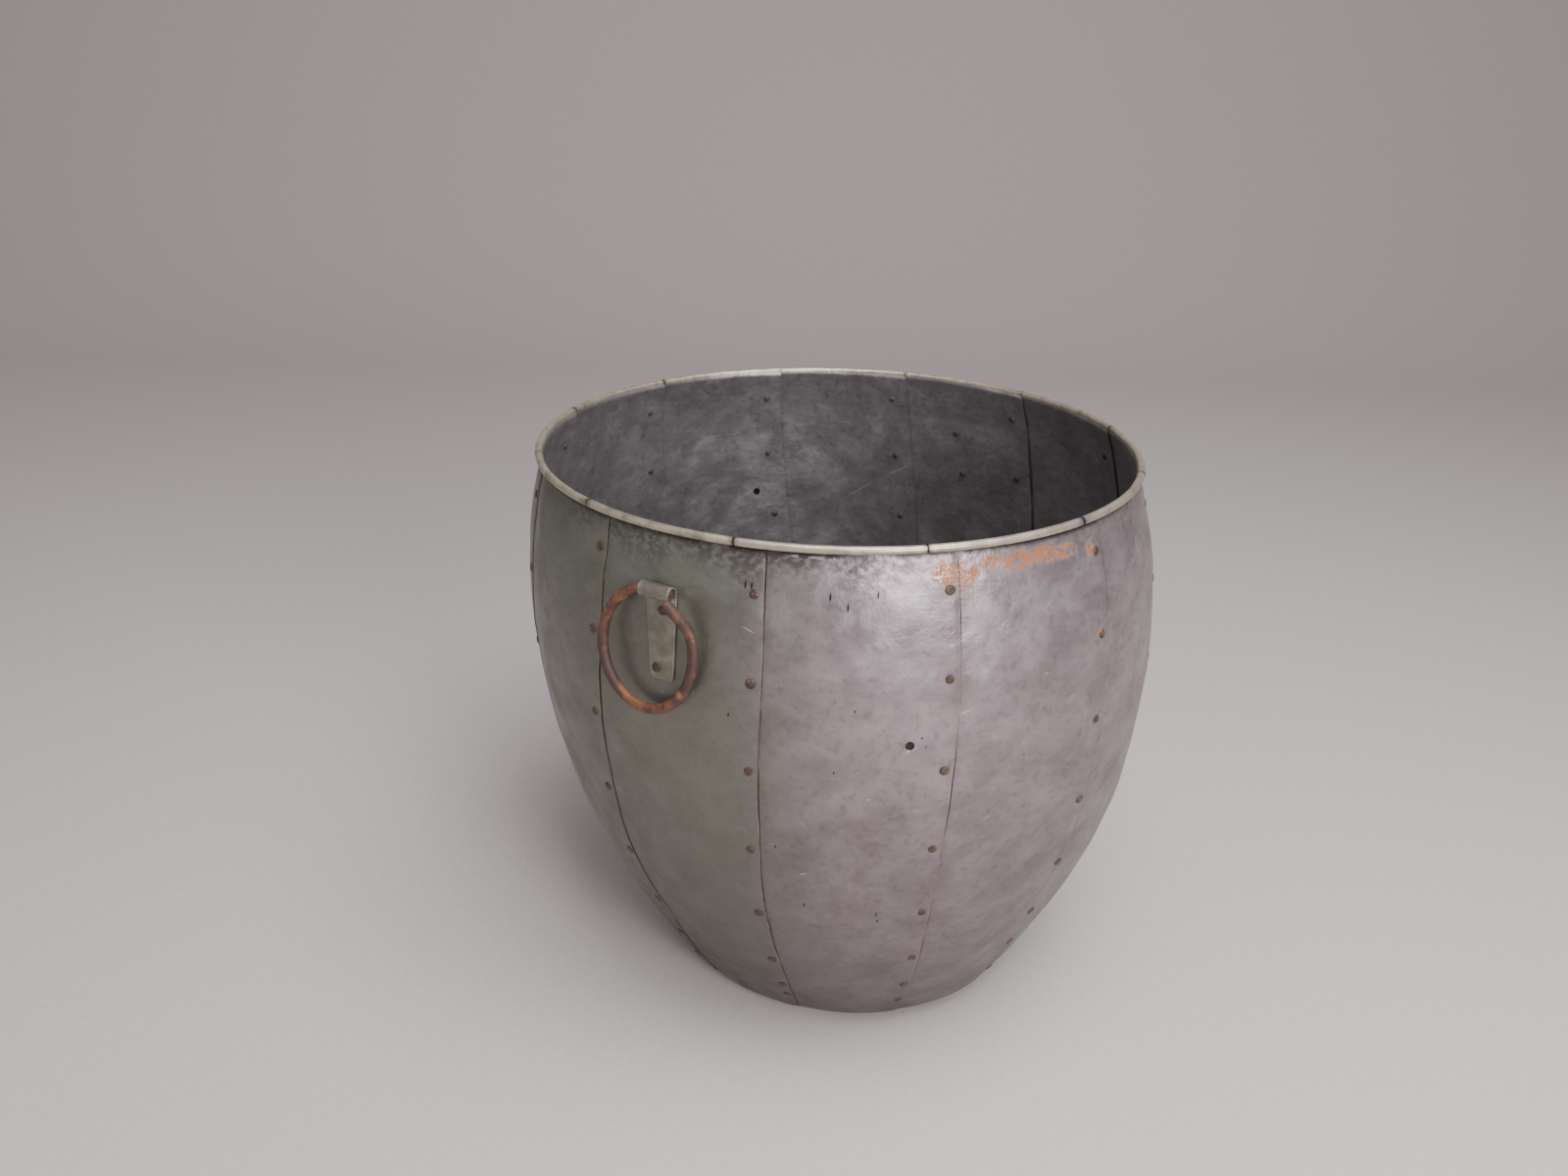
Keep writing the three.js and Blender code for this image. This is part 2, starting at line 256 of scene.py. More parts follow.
def smooth_curve(at: Array, values: Array, slopes: Array, where: Array) -> Array:
    """A smooth curve through knots, given its slopes there.

    Args:
        at: Where the knots are.
        values: The curve's values at the knots.
        slopes: Its slopes at the knots.
        where: Where to read it.

    Returns:
        Its values.
    """
    i = np.clip(np.searchsorted(at, where) - 1, 0, len(at) - 2)
    span = at[i + 1] - at[i]
    t = (where - at[i]) / span
    near, far = 2 * t**3 - 3 * t**2 + 1, -2 * t**3 + 3 * t**2
    pull_near, pull_far = t**3 - 2 * t**2 + t, t**3 - t**2
    along = span * (pull_near * slopes[i] + pull_far * slopes[i + 1])
    return near * values[i] + far * values[i + 1] + along


def run_length(points: Array) -> Array:
    """Length from the first point to each, along a line of points."""
    return np.concatenate([[0], np.cumsum(np.linalg.norm(np.diff(points, axis=0), axis=1))])


def other_face(face: Array, sheet: float) -> Array:
    """The other face of a sheet in section, to the left of the way that the first face runs."""
    along = np.gradient(face, axis=0)
    along /= np.linalg.norm(along, axis=1, keepdims=True)
    return face + sheet * np.stack([-along[:, 1], along[:, 0]], axis=1)


def shell_faces(valid: Array) -> Faces:
    """Faces of a sheet with thickness: a grid, its other side, and the edges between them.

    The points are the grid's, row by row, and then the other side's.

    Args:
        valid: For each cell of the grid, whether there is sheet there.

    Returns:
        Faces of the closed shell.
    """
    rows, columns = valid.shape[0] + 1, valid.shape[1] + 1
    other = rows * columns
    faces: Faces = []
    edges: dict[tuple[int, int], bool] = {}
    for i, j in zip(*np.nonzero(valid)):
        a = i * columns + j
        quad = (a, a + columns, a + columns + 1, a + 1)
        faces.append(quad)
        faces.append(tuple(p + other for p in reversed(quad)))
        for p, q in zip(quad, quad[1:] + quad[:1]):
            if edges.pop((q, p), None) is None:
                edges[(p, q)] = True
    faces.extend((q, p, p + other, q + other) for p, q in edges)
    return faces


def drop_loose(points: Array, faces: Faces) -> tuple[Array, Faces, Array]:
    """Leaves out the points that no face uses.

    Args:
        points: All the points.
        faces: The faces.

    Returns:
        The points kept, the renumbered faces, and the numbers of the points kept.
    """
    kept = np.unique(np.concatenate([np.array(f) for f in faces]))
    number = np.full(len(points), -1)
    number[kept] = np.arange(len(kept))
    return points[kept], [tuple(int(number[p]) for p in f) for f in faces], kept


def hidden_edge(k: int) -> float:
    """Azimuth in degrees of the edge that a gore hides under its neighbour."""
    return FIRST_EDGE + k * PITCH


# ---- The vessel's shape ----------------------------------------------------------------------
@dataclass(frozen=True)
class Vessel:
    """The bucket's round shape, with its lean, its twist and its hand-beaten unevenness.

    The wall's outline is in millimetres, from the gores' foot to the neck under the bead, and a
    smooth curve runs through it. A ripple is a number of waves round the bucket, a length in metres
    up it, and a size in millimetres. The wall is flat where the hangers sit, from one of the seat's
    heights to the other, and is left unbeaten where the rings rest. Angles are in degrees.
    """

    rim_radius: float
    rim_height: float
    lean: tuple[float, float]
    heights: tuple[float, ...] = (14, 53, 89, 157, 226, 295, 363, 432, 501, 545, 564)
    radii: tuple[float, ...] = (197, 220.5, 239.5, 270.5, 294.5, 308.5, 316.5, 316, 309, 299, 293)
    foot: float = 14 * MM
    neck: float = 564 * MM
    twist: float = -3.0
    twist_foot: float = 200 * MM
    dimple: float = 0.5 * MM
    facet: float = 0.5 * MM
    calm_top: tuple[float, float] = (40 * MM, 4 * MM)
    calm_foot: tuple[float, float] = (30 * MM, 120 * MM)
    seat_heights: tuple[float, float] = (416 * MM, 518 * MM)
    seat_sides: tuple[float, float] = (11.0, 18.0)
    rest_height: float = 468 * MM
    rest_reach: tuple[float, float] = (12.0, 75 * MM)
    ripples: tuple[tuple[int, float, float], ...] = (
        (3, 0.52, 1.0), (5, 0.34, 0.9), (9, 0.21, 0.7), (16, 0.13, 0.45), (29, 0.075, 0.22),
        (47, 0.045, 0.12),
    )

    def wall_radius(self, height: Array) -> Array:
        """Radius of the gores' outer face at each height, before laps and dents."""
        at, value = np.array(self.heights) * MM, np.array(self.radii) * MM
        slope = np.gradient(value, at)
        return smooth_curve(at, value, slope, np.asarray(height, float))

    def turned(self, azimuth: Array, height: Array) -> Array:
        """Azimuth in degrees after the gores' twist at each height."""
        return azimuth + self.twist * (1 - smoothstep(self.twist_foot, self.neck, height))

    def rise(self, across: Array) -> Array:
        """How far a gore stands out at a place across it, so that it covers its neighbour."""
        return (SHEET + LAP_AIR) * np.asarray(across, float) / PITCH

    def dents(self, azimuth: Array, height: Array) -> Array:
        """Radial unevenness from beating the sheets by hand.

        Args:
            azimuth: Final azimuth in degrees.
            height: Height in metres.

        Returns:
            Offset of the radius in metres.
        """
        rng = np.random.default_rng(SEED)
        angle = np.radians(azimuth)
        total = np.zeros(np.broadcast(azimuth, height).shape)
        for waves, length, size in self.ripples:
            turn, shift, skew = rng.uniform(0, 2 * math.pi, 3)
            up = 2 * math.pi * height / length
            around = waves * angle + turn + 0.6 * np.sin(up + skew)
            total = total + size * MM * np.sin(around) * np.sin(up + shift)
        flat = -self.facet * np.cos(np.radians(GORES * (azimuth - PITCH / 2)))
        low, high = self.calm_top
        total = (total + flat) * (1 - smoothstep(self.neck - low, self.neck - high, height))
        above_foot = 0.25 + 0.75 * smoothstep(*self.calm_foot, height)
        return total * above_foot * self.away_from_handles(azimuth, height)

    def beside_handle(self, azimuth: Array) -> Array:
        """Degrees from the middle of the nearer handle."""
        return np.minimum(np.remainder(azimuth, 180), 180 - np.remainder(azimuth, 180))

    def seat(self, azimuth: Array, height: Array) -> Array:
        """Flattening of the wall where the straight hangers lie and the rings swing.

        Args:
            azimuth: Final azimuth in degrees.
            height: Height in metres.

        Returns:
            Offset of the radius in metres, towards the inside.
        """
        knots = np.array([*self.seat_heights, self.neck])
        chord = np.interp(height, knots, self.wall_radius(knots))
        inside = (height > knots[0]) & (height < knots[-1])
        bulge = np.where(inside, self.wall_radius(height) - chord, 0)
        return -bulge * (1 - smoothstep(*self.seat_sides, self.beside_handle(azimuth)))

    def away_from_handles(self, azimuth: Array, height: Array) -> Array:
        """1 over most of the wall, and 0 where the hangers lie flat and the rings rest."""
        beside = self.beside_handle(azimuth) / self.rest_reach[0]
        below = (height - self.rest_height) / self.rest_reach[1]
        return smoothstep(0.7, 1.6, np.sqrt(beside**2 + below**2))

    def rivet_dimples(self, azimuth: Array, height: Array, spots: Array) -> Array:
        """Dimples that the hammered rivets leave in both sheets.

        Args:
            azimuth: Final azimuth in degrees.
            height: Height in metres.
            spots: Final azimuth and height of each rivet.

        Returns:
            Offset of the radius in metres, towards the inside.
        """
        total = np.zeros(np.broadcast(azimuth, height).shape)
        for at, level in spots:
            side = np.remainder(azimuth - at + 180, 360) - 180
            near = np.abs(side) < 6
            distance = np.hypot(np.radians(side) * self.rim_radius, height - level)
            total = total - np.where(near, self.dimple * np.exp(-((distance / (7 * MM)) ** 2)), 0)
        return total

    def place(self, azimuth: Array, radius: Array, height: Array) -> Array:
        """Points of the leaning vessel.

        Args:
            azimuth: Final azimuth in degrees.
            radius: Distance from the centre line in metres.
            height: Height in metres.

        Returns:
            Positions, one row each.
        """
        angle = np.radians(azimuth)
        x = self.lean[0] * height + radius * np.cos(angle)
        y = self.lean[1] * height + radius * np.sin(angle)
        return np.stack([x, y, np.broadcast_to(height, x.shape)], axis=-1)


def measure_vessel() -> Vessel:
    """Reads the rim's size and the vessel's lean from the CAD rim wire.

    Returns:
        The vessel's shape.
    """
    low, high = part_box("rim_wire")
    centre = (low + high) / 2
    wire = (high.z - low.z) / 2
    lean = (centre.x / centre.z, centre.y / centre.z)
    return Vessel((high.x - low.x) / 2 - wire, centre.z, lean)


# ---- Finishes --------------------------------------------------------------------------------
MIX_A, MIX_B, MIX_OUT = 6, 7, 2  # the colour sockets of a mix node
Mask = bpy.types.NodeSocket | float


@dataclass(frozen=True)
class Paint:
    """A material in the making: its shader, and the nodes that its patterns are laid with."""

    material: bpy.types.Material
    shader: bpy.types.Node
    coords: bpy.types.NodeSocket

    @classmethod
    def start(cls, name: str, roughness: float, metallic: float) -> "Paint":
        """Starts a material whose patterns read Object coordinates.

        Args:
            name: The finish's name.
            roughness: Roughness where nothing is linked.
            metallic: Share of bare metal.

        Returns:
            The material in the making.
        """
        material = bpy.data.materials.new(name)
        material.use_nodes = True
        shader = material.node_tree.nodes["Principled BSDF"]
        shader.inputs["Roughness"].default_value = roughness
        shader.inputs["Metallic"].default_value = metallic
        coords = add(material.node_tree, "ShaderNodeTexCoord").outputs["Object"]
        return cls(material, shader, coords)

    def node(self, kind: str, inputs: dict[str | int, object], **settings: object) -> bpy.types.Node:
        """Adds one node to the material."""
        return add(self.material.node_tree, kind, inputs, **settings)

    def link(self, socket: str, value: bpy.types.NodeSocket) -> None:
        """Links a value to one of the shader's sockets."""
        self.material.node_tree.links.new(value, self.shader.inputs[socket])

    def combine(self, operation: str, *values: Mask) -> bpy.types.NodeSocket:
        """Adds a node that combines masks by arithmetic, such as "MULTIPLY"."""
        return self.node("ShaderNodeMath", dict(enumerate(values)), operation=operation).outputs[0]

    def carried(self, name: str) -> bpy.types.NodeSocket:
        """Reads a value that the sheet carries at its points."""
        return self.node("ShaderNodeAttribute", {}, attribute_name=name).outputs["Fac"]

    def ramp(self, value: Mask, low: float, high: float) -> bpy.types.NodeSocket:
        """Stretches a mask from 0 to 1 to run from low to high."""
        return self.node("ShaderNodeMapRange", {"Value": value, "To Min": low, "To Max": high}).outputs[0]

    def step(self, value: Mask, low: float, high: float) -> bpy.types.NodeSocket:
        """Steps a value smoothly from 0 at low to 1 at high."""
        inputs = {"Value": value, "From Min": low, "From Max": high}
        return self.node("ShaderNodeMapRange", inputs, interpolation_type="SMOOTHSTEP").outputs[0]

    def lay(self, over: str, under: str | bpy.types.NodeSocket, *masks: Mask) -> bpy.types.NodeSocket:
        """Lays one colour over another.

        Args:
            over: The upper colour, in hex.
            under: The lower colour, in hex or from a node.
            *masks: Masks that are multiplied, for how much of the upper colour shows.

        Returns:
            The blended colour.
        """
        shown = masks[0]
        for mask in masks[1:]:
            shown = self.combine("MULTIPLY", shown, mask)
        lower = linear(under) if isinstance(under, str) else under
        inputs = {0: shown, MIX_A: lower, MIX_B: linear(over)}
        return self.node("ShaderNodeMix", inputs, data_type="RGBA").outputs[MIX_OUT]

    def grain(
        self,
        size_mm: float,
        low: float,
        high: float,
        stretch: tuple[float, float, float] = (1.0, 1.0, 1.0),
        detail: float = 4.0,
    ) -> bpy.types.NodeSocket:
        """Adds a noise of a real size, stepped from 0 to 1 between two of its levels.

        Args:
            size_mm: Size of the noise's features.
            low: Noise level that gives 0.
            high: Noise level that gives 1.
            stretch: Frequency along each axis, against the size given.
            detail: Octaves of finer noise.

        Returns:
            The stepped noise.
        """
        mapping = self.node("ShaderNodeMapping", {0: self.coords})
        mapping.inputs["Scale"].default_value = stretch
        # Each size gets its own stretch of noise, so that patterns don't repeat one another.
        mapping.inputs["Location"].default_value = (size_mm * 0.37, size_mm * 0.11, size_mm * 0.53)
        inputs = {"Vector": mapping.outputs[0], "Scale": 1000 / size_mm, "Detail": detail}
        return self.step(self.node("ShaderNodeTexNoise", inputs).outputs[0], low, high)

    def relief(self, height: Mask, strength: float, depth_mm: float, **below: object) -> bpy.types.NodeSocket:
        """Adds a bump.

        Args:
            height: The relief's pattern.
            strength: How much of it shows.
            depth_mm: Its depth.
            **below: A coarser bump under it, as Normal.

        Returns:
            The bumped normal.
        """
        inputs = {"Height": height, "Strength": strength, "Distance": depth_mm * MM, **below}
        return self.node("ShaderNodeBump", inputs).outputs[0]


@dataclass(frozen=True)
class Patch:
    """A stained or scratched place on the surface: an ellipsoid in the bucket's own space."""

    centre: tuple[float, float, float]
    size: tuple[float, float, float]
    turn: tuple[float, float, float] = (0.0, 0.0, 0.0)
    edge: float = 0.5

    @classmethod
    def between(
        cls,
        start: tuple[float, ...],
        end: tuple[float, ...],
        width: float,
        edge: float = 0.3,
    ) -> "Patch":
        """A long thin patch, such as a scratch.

        Args:
            start: One end.
            end: The other end.
            width: Its width.
            edge: Share of its size where it starts to fade.

        Returns:
            The patch.
        """
        run = Vector(end) - Vector(start)
        middle = (Vector(end) + Vector(start)) / 2
        along = run.normalized()
        beside = Vector((middle.x, middle.y, 0)).cross(along).normalized()
        turn = Matrix((along, beside, along.cross(beside))).transposed().to_euler()
        return cls(tuple(middle), (run.length / 2, width / 2, 5 * MM), tuple(turn), edge)

    def mask(self, paint: Paint) -> bpy.types.NodeSocket:
        """Adds the nodes of a mask that is 1 inside the patch and fades to 0 at its edge.

        Args:
            paint: The material in the making.

        Returns:
            The mask.
        """
        mapping = paint.node("ShaderNodeMapping", {0: paint.coords}, vector_type="TEXTURE")
        mapping.inputs["Location"].default_value = self.centre
        mapping.inputs["Rotation"].default_value = self.turn
        mapping.inputs["Scale"].default_value = self.size
        length = paint.node("ShaderNodeVectorMath", {0: mapping.outputs[0]}, operation="LENGTH")
        return paint.step(length.outputs["Value"], 1.0, self.edge)


class Side(Enum):
    """Which way round the bucket a handle hangs."""

    RIGHT = "right"
    LEFT = "left"

    @property
    def outward(self) -> int:
        """+1 where the handle looks along +X, and -1 where it looks along -X."""
        return 1 if self is Side.RIGHT else -1


@dataclass(frozen=True)
class WeatheredZinc:
    """Galvanised sheet steel, hot dipped, beaten and left outdoors.

    The zinc has gone dull and patchy: a soft grey sheen with a mauve cast that is a painted
    reflection of pinkish surroundings, darker stains that run down from the rim, brown bleeding at
    the rivets, and pale scuffs. Painted light is laid in too: a green painted reflection, painted
    highlights of hammer marks, on the bead and along the visible edges, and painted shade towards the
    foot, in the seams and at the stray holes. The patterns read values that the sheets carry: their
    random darkening with the painted shade towards the foot, dirt, band under the bead, bead,
    inside, seam lines of painted shade, and wear with edge highlights.
    """

    name: str = "weathered_galvanised_steel"
    # The mauve cast of pale and dark is a painted reflection of pinkish surroundings on grey zinc.
    pale: str = "a99ba0"
    dark: str = "8e8186"
    # Colour of a painted reflection: green surroundings mirrored in the zinc.
    green_reflection: str = "6c7262"
    inside: str = "9c989a"
    # Colour of painted highlights: short light dashes where hammer marks catch the light.
    beaten: str = "b9b4b6"
    stain: str = "4e4544"
    rust: str = "a9601f"
    brown: str = "6f5d50"
    # Cream of the bead: rubbed zinc, and a painted highlight along the rolled rim.
    bead: str = "b8ad9a"
    fleck: str = "d8d2ce"
    # Colour of painted shade in the seams' steps and gaps, and under the bead.
    gap_shade: str = "352c29"
    # Colour of the nick marks, and of the painted shade at the stray holes.
    pit: str = "211d1c"
    roughness: tuple[float, float] = (0.36, 0.52)
    metallic: float = 0.75
    rust_patches: tuple[Patch, ...] = ()
    chips: tuple[Patch, ...] = ()
    brown_patches: tuple[Patch, ...] = ()
    green_reflection_patches: tuple[Patch, ...] = ()
    scratches: tuple[Patch, ...] = ()
    nicks_and_hole_shades: tuple[Patch, ...] = ()

    def build(self) -> bpy.types.Material:
        """Builds the material.

        Returns:
            The material.
        """
        paint = Paint.start(self.name, self.roughness[0], self.metallic)
        self.surface(paint)
        colour = self.stains(paint, self.bare(paint))
        if self.rust_patches:
            colour = self.rusted(paint, colour)
        paint.link("Base Color", self.marks(paint, colour))
        return paint.material

    def bare(self, paint: Paint) -> bpy.types.NodeSocket:
        """Adds the dull zinc itself: cloudy, blotched, with a painted green reflection and painted
        highlights of hammer marks, and darker towards the foot as painted shade.

        Args:
            paint: The material in the making.

        Returns:
            Its colour.
        """
        inside = paint.carried("inside")
        clouds = paint.grain(45, 0.3, 0.7, stretch=(1, 1, 1.2), detail=6)
        colour = paint.lay(self.pale, self.dark, clouds)
        blotches = paint.grain(18, 0.4, 0.75, stretch=(1, 1, 1.2))
        colour = paint.lay(self.dark, colour, blotches, 0.45)
        colour = paint.lay(self.inside, colour, inside, 0.85)
        # Painted highlights: light dashes of hammer marks, stronger on the inner face.
        blow_highlights = paint.grain(17, 0.48, 0.7, stretch=(1, 1, 1.8))
        colour = paint.lay(self.beaten, colour, blow_highlights, paint.ramp(inside, 0.22, 0.38))
        mottle = paint.grain(7, 0.48, 0.75, detail=6)
        colour = paint.lay(self.stain, colour, mottle, 0.3)
        # Painted reflection: a green tinge over the gores to the left of the front.
        for patch in self.green_reflection_patches:
            colour = paint.lay(self.green_reflection, colour, patch.mask(paint), 0.75)
        # Painted shade: darker towards the foot, over each gore's own small random darkening.
        return paint.lay(self.stain, colour, paint.carried("tone"))

    def stains(self, paint: Paint, colour: bpy.types.NodeSocket) -> bpy.types.NodeSocket:
        """Adds the dirt of the seams, the band under the bead, the brown stains and the chips.

        Args:
            paint: The material in the making.
            colour: The bare zinc.

        Returns:
            The stained colour.
        """
        colour = paint.lay(self.brown, colour, paint.carried("dirt"), paint.grain(14, 0.3, 0.68))
        runs = paint.grain(6, 0.36, 0.58, stretch=(1, 1, 1.3), detail=8)
        colour = paint.lay(self.stain, colour, paint.carried("band"), runs)
        for patch in self.brown_patches:
            colour = paint.lay(self.brown, colour, patch.mask(paint), 0.4)
        for chip in self.chips:
            colour = paint.lay(self.fleck, colour, chip.mask(paint), paint.grain(3, 0.42, 0.5))
        return colour

    def rusted(self, paint: Paint, colour: bpy.types.NodeSocket) -> bpy.types.NodeSocket:
        """Adds the ragged, speckled rust, which is rough and has no metal to it.

        Args:
            paint: The material in the making.
            colour: The stained colour.

        Returns:
            The rusted colour.
        """
        whole: Mask = 0.0
        for patch in self.rust_patches:
            whole = paint.combine("MAXIMUM", whole, patch.mask(paint))
        ragged = paint.combine("MULTIPLY", whole, paint.grain(12, 0.34, 0.5, detail=8))
        rust = paint.combine("MULTIPLY", ragged, paint.grain(1.7, 0.4, 0.56))
        paint.link("Metallic", paint.combine("MULTIPLY_ADD", rust, -self.metallic, self.metallic))
        zinc = paint.shader.inputs["Roughness"].links[0].from_socket
        paint.link("Roughness", paint.combine("MULTIPLY_ADD", rust, 0.3, zinc))
        return paint.lay(self.rust, colour, rust)

    def marks(self, paint: Paint, colour: bpy.types.NodeSocket) -> bpy.types.NodeSocket:
        """Adds the bead's rubbed zinc and painted highlight, pale wear with painted highlights on the
        edges, seam lines of painted shade, scratches, nick marks, and painted shade at the stray holes.

        Args:
            paint: The material in the making.
            colour: The stained colour.

        Returns:
            The marked colour.
        """
        # The bead's cream is rubbed zinc and a painted highlight along the rolled rim.
        rubbed = paint.grain(14, 0.24, 0.55, detail=6)
        colour = paint.lay(self.bead, colour, paint.carried("bead"), rubbed)
        # Pale wear along the edges, with a painted highlight on the gores' visible edges.
        colour = paint.lay(self.fleck, colour, paint.carried("worn"), paint.grain(30, 0.45, 0.7))
        # Painted shade: dark lines in the seams and under the bead, broken in stretches.
        open_stretch = paint.grain(30, 0.25, 0.55)
        colour = paint.lay(self.gap_shade, colour, paint.carried("seam_line"), open_stretch)
        for scratch in self.scratches:
            colour = paint.lay(self.fleck, colour, scratch.mask(paint), 0.6)
        # Black nick marks, and painted shade at the stray holes.
        for nick in self.nicks_and_hole_shades:
            colour = paint.lay(self.pit, colour, nick.mask(paint))
        return colour

    def surface(self, paint: Paint) -> None:
        """Adds roughness that follows the dirt, and the fine hammered and pitted relief."""
        dull = paint.combine("MAXIMUM", paint.grain(35, 0.35, 0.7), paint.carried("dirt"))
        paint.link("Roughness", paint.ramp(dull, *self.roughness))
        hammered = paint.grain(24, 0.25, 0.75, stretch=(1, 1, 1.3), detail=3)
        coarse = paint.relief(hammered, 0.45, 1.0)
        # Real pits are finer than this, and are drawn as coarse as they need to be to show.
        pitted = paint.grain(2.2, 0.3, 0.7, detail=3)
        paint.link("Normal", paint.relief(pitted, 0.25, 0.25, Normal=coarse))


@dataclass(frozen=True)
class RustedIron:
    """Round wrought iron that has rusted over: dark scale with rubbed orange and purple-brown."""

    name: str
    scale: str
    orange: str
    glow: str
    patch_mm: float
    pit_mm: float
    roughness: float = 0.58
    metallic: float = 0.3

    def build(self) -> bpy.types.Material:
        """Builds the material.

        Returns:
            The material.
        """
        paint = Paint.start(self.name, self.roughness, self.metallic)
        colour = paint.lay(self.orange, self.scale, paint.grain(self.patch_mm, 0.42, 0.66, detail=6))
        colour = paint.lay(self.glow, colour, paint.grain(self.patch_mm * 0.6, 0.55, 0.7), 0.6)
        colour = paint.lay(self.scale, colour, paint.grain(self.pit_mm, 0.5, 0.7), 0.5)
        paint.link("Base Color", colour)
        paint.link("Normal", paint.relief(paint.grain(self.pit_mm, 0.3, 0.7, detail=3), 0.5, 0.35))
        return paint.material


@dataclass
class Finishes:
    """Every material of the bucket."""

    vessel: Vessel
    zinc: bpy.types.Material = field(init=False)
    shaded_pan_zinc: bpy.types.Material = field(init=False)
    strap_zinc: bpy.types.Material = field(init=False)
    ring_rust: bpy.types.Material = field(init=False)
    rivet_iron: bpy.types.Material = field(init=False)
    wire_iron: bpy.types.Material = field(init=False)

    def __post_init__(self) -> None:
        """Builds the materials."""
        self.zinc = WeatheredZinc(
            rust_patches=self.rust_under_bead(),
            brown_patches=self.brown_smears(),
            # A painted reflection of green surroundings, over the gores to the left of the front.
            green_reflection_patches=(Patch(self.spot(163, 300), (0.25, 0.25, 0.7), edge=0.55),),
            chips=self.chips(),
            scratches=self.scratches(),
            nicks_and_hole_shades=self.nicks_and_hole_shades(),
        ).build()
        # The same sheet in darker colours, as painted shade under the belly, and brown where it has
        # stood in the wet.
        self.shaded_pan_zinc = WeatheredZinc(
            name="scuffed_base_zinc", pale="8f8888", dark="6b6665", inside="6e6a69", beaten="7c7877"
        ).build()
        # Galvanised strap, handled and never cleaned: an even greenish grey with little sheen.
        self.strap_zinc = WeatheredZinc(
            name="hanger_strap_zinc", pale="959588", dark="7b7b6f", roughness=(0.42, 0.55)
        ).build()
        # Forged rod under old rust: purple-brown scale, orange where hands have rubbed it.
        self.ring_rust = RustedIron("rusted_ring_rod", "4b3732", "855639", "ac7b50", 22, 2.4).build()
        # Hammered rivet heads, rusted a dark and even brown.
        self.rivet_iron = RustedIron("rusted_rivet_iron", "41352f", "614b3f", "7d6552", 6, 1.6).build()
        # Plain wire, dull and dark inside the curl.
        self.wire_iron = RustedIron("bare_rim_wire", "4a423d", "5c4a40", "6b5443", 15, 2.0).build()

    def spot(self, azimuth: float, height_mm: float) -> tuple[float, float, float]:
        """A point on the wall.

        Args:
            azimuth: Azimuth in degrees.
            height_mm: Height in millimetres.

        Returns:
            The point.
        """
        height = height_mm * MM
        radius = float(self.vessel.wall_radius(height)) + self.vessel.rise(PITCH / 2)
        return tuple(float(v) for v in self.vessel.place(azimuth, radius, height))

    def rust_under_bead(self) -> tuple[Patch, ...]:
        """The orange bloom that hangs under the bead over one gore, and round two of its rivets."""
        blooms = ((-135, 548, 14, 14), (-131.5, 546, 16, 14), (-127, 553, 14, 7), (-122, 551, 20, 11),
                  (-117, 551, 22, 10), (-112, 549, 20, 8), (-106, 544, 8, 10), (-105.7, 467, 4, 8))
        return tuple(
            Patch(self.spot(az, h), (wide * MM, wide * MM, tall * MM)) for az, h, wide, tall in blooms
        )

    def chips(self) -> tuple[Patch, ...]:
        """Bright chips in the zinc, close under the bead."""
        chips = ((-158, 562, 6), (-155, 561.5, 8), (-152.5, 561.5, 5), (-136.5, 546, 3))
        return tuple(Patch(self.spot(az, h), (wide * MM, wide * MM, 1.6 * MM)) for az, h, wide in chips)

    def brown_smears(self) -> tuple[Patch, ...]:
        """Brown bleeding beside the near hanger and under the bead."""
        return (
            Patch(self.spot(-173, 512), (34 * MM, 20 * MM, 20 * MM), edge=0.0),
            Patch(self.spot(-133, 525), (16 * MM, 16 * MM, 26 * MM), edge=0.0),
        )

    def scratches(self) -> tuple[Patch, ...]:
        """Pale scratches and creases, one of them long and slanting on the far inner wall."""
        ends = (((28.4, 393), (19, 428)), ((19, 428), (9.4, 458)), ((-166.5, 503), (-164, 497)),
                ((-134, 428), (-131, 433)), ((-129, 318), (-127, 324)), ((-159, 262), (-157.5, 266)),
                ((-148, 352), (-147, 353)), ((-119, 452), (-117.5, 451)))
        return tuple(Patch.between(self.spot(*one), self.spot(*other), 1.5 * MM) for one, other in ends)

    def nicks_and_hole_shades(self) -> tuple[Patch, ...]:
        """Short black nick marks and pits in the front gores, and painted shade at the stray holes."""
        places = ((-165.9, 536, 4.5), (-164.9, 536, 4.5), (-152.9, 532, 4.5), (-150.3, 524, 5),
                  (-145.7, 534, 4), (-139.5, 411, 1.6), (-138.9, 402.6, 1.2), (-149.5, 437, 1.6),
                  (-152.8, 378, 1.6), (-168.8, 422, 2), (-122.4, 380, 2), (-121, 323, 1.5),
                  (-145.9, 216, 5), (-145.6, 205, 4), (-158.5, 224, 4), (-162.7, 291, 2.5))
        # Painted shade: a dark rim round the open hole, and a dark disc painted in place of the far hole.
        holes = ((*STRAY_HOLE[:2], STRAY_HOLE[2] + 1), (48.1, 410, 6))
        marks = [
            Patch.between(self.spot(az, h - tall), self.spot(az + 0.15, h + tall), 2.2 * MM, edge=0.4)
            for az, h, tall in places
        ]
        hole_shades = [
            Patch.between(self.spot(az, h - reach), self.spot(az, h + reach), 2 * reach * MM, edge=0.85)
            for az, h, reach in holes
        ]
        return tuple(marks + hole_shades)


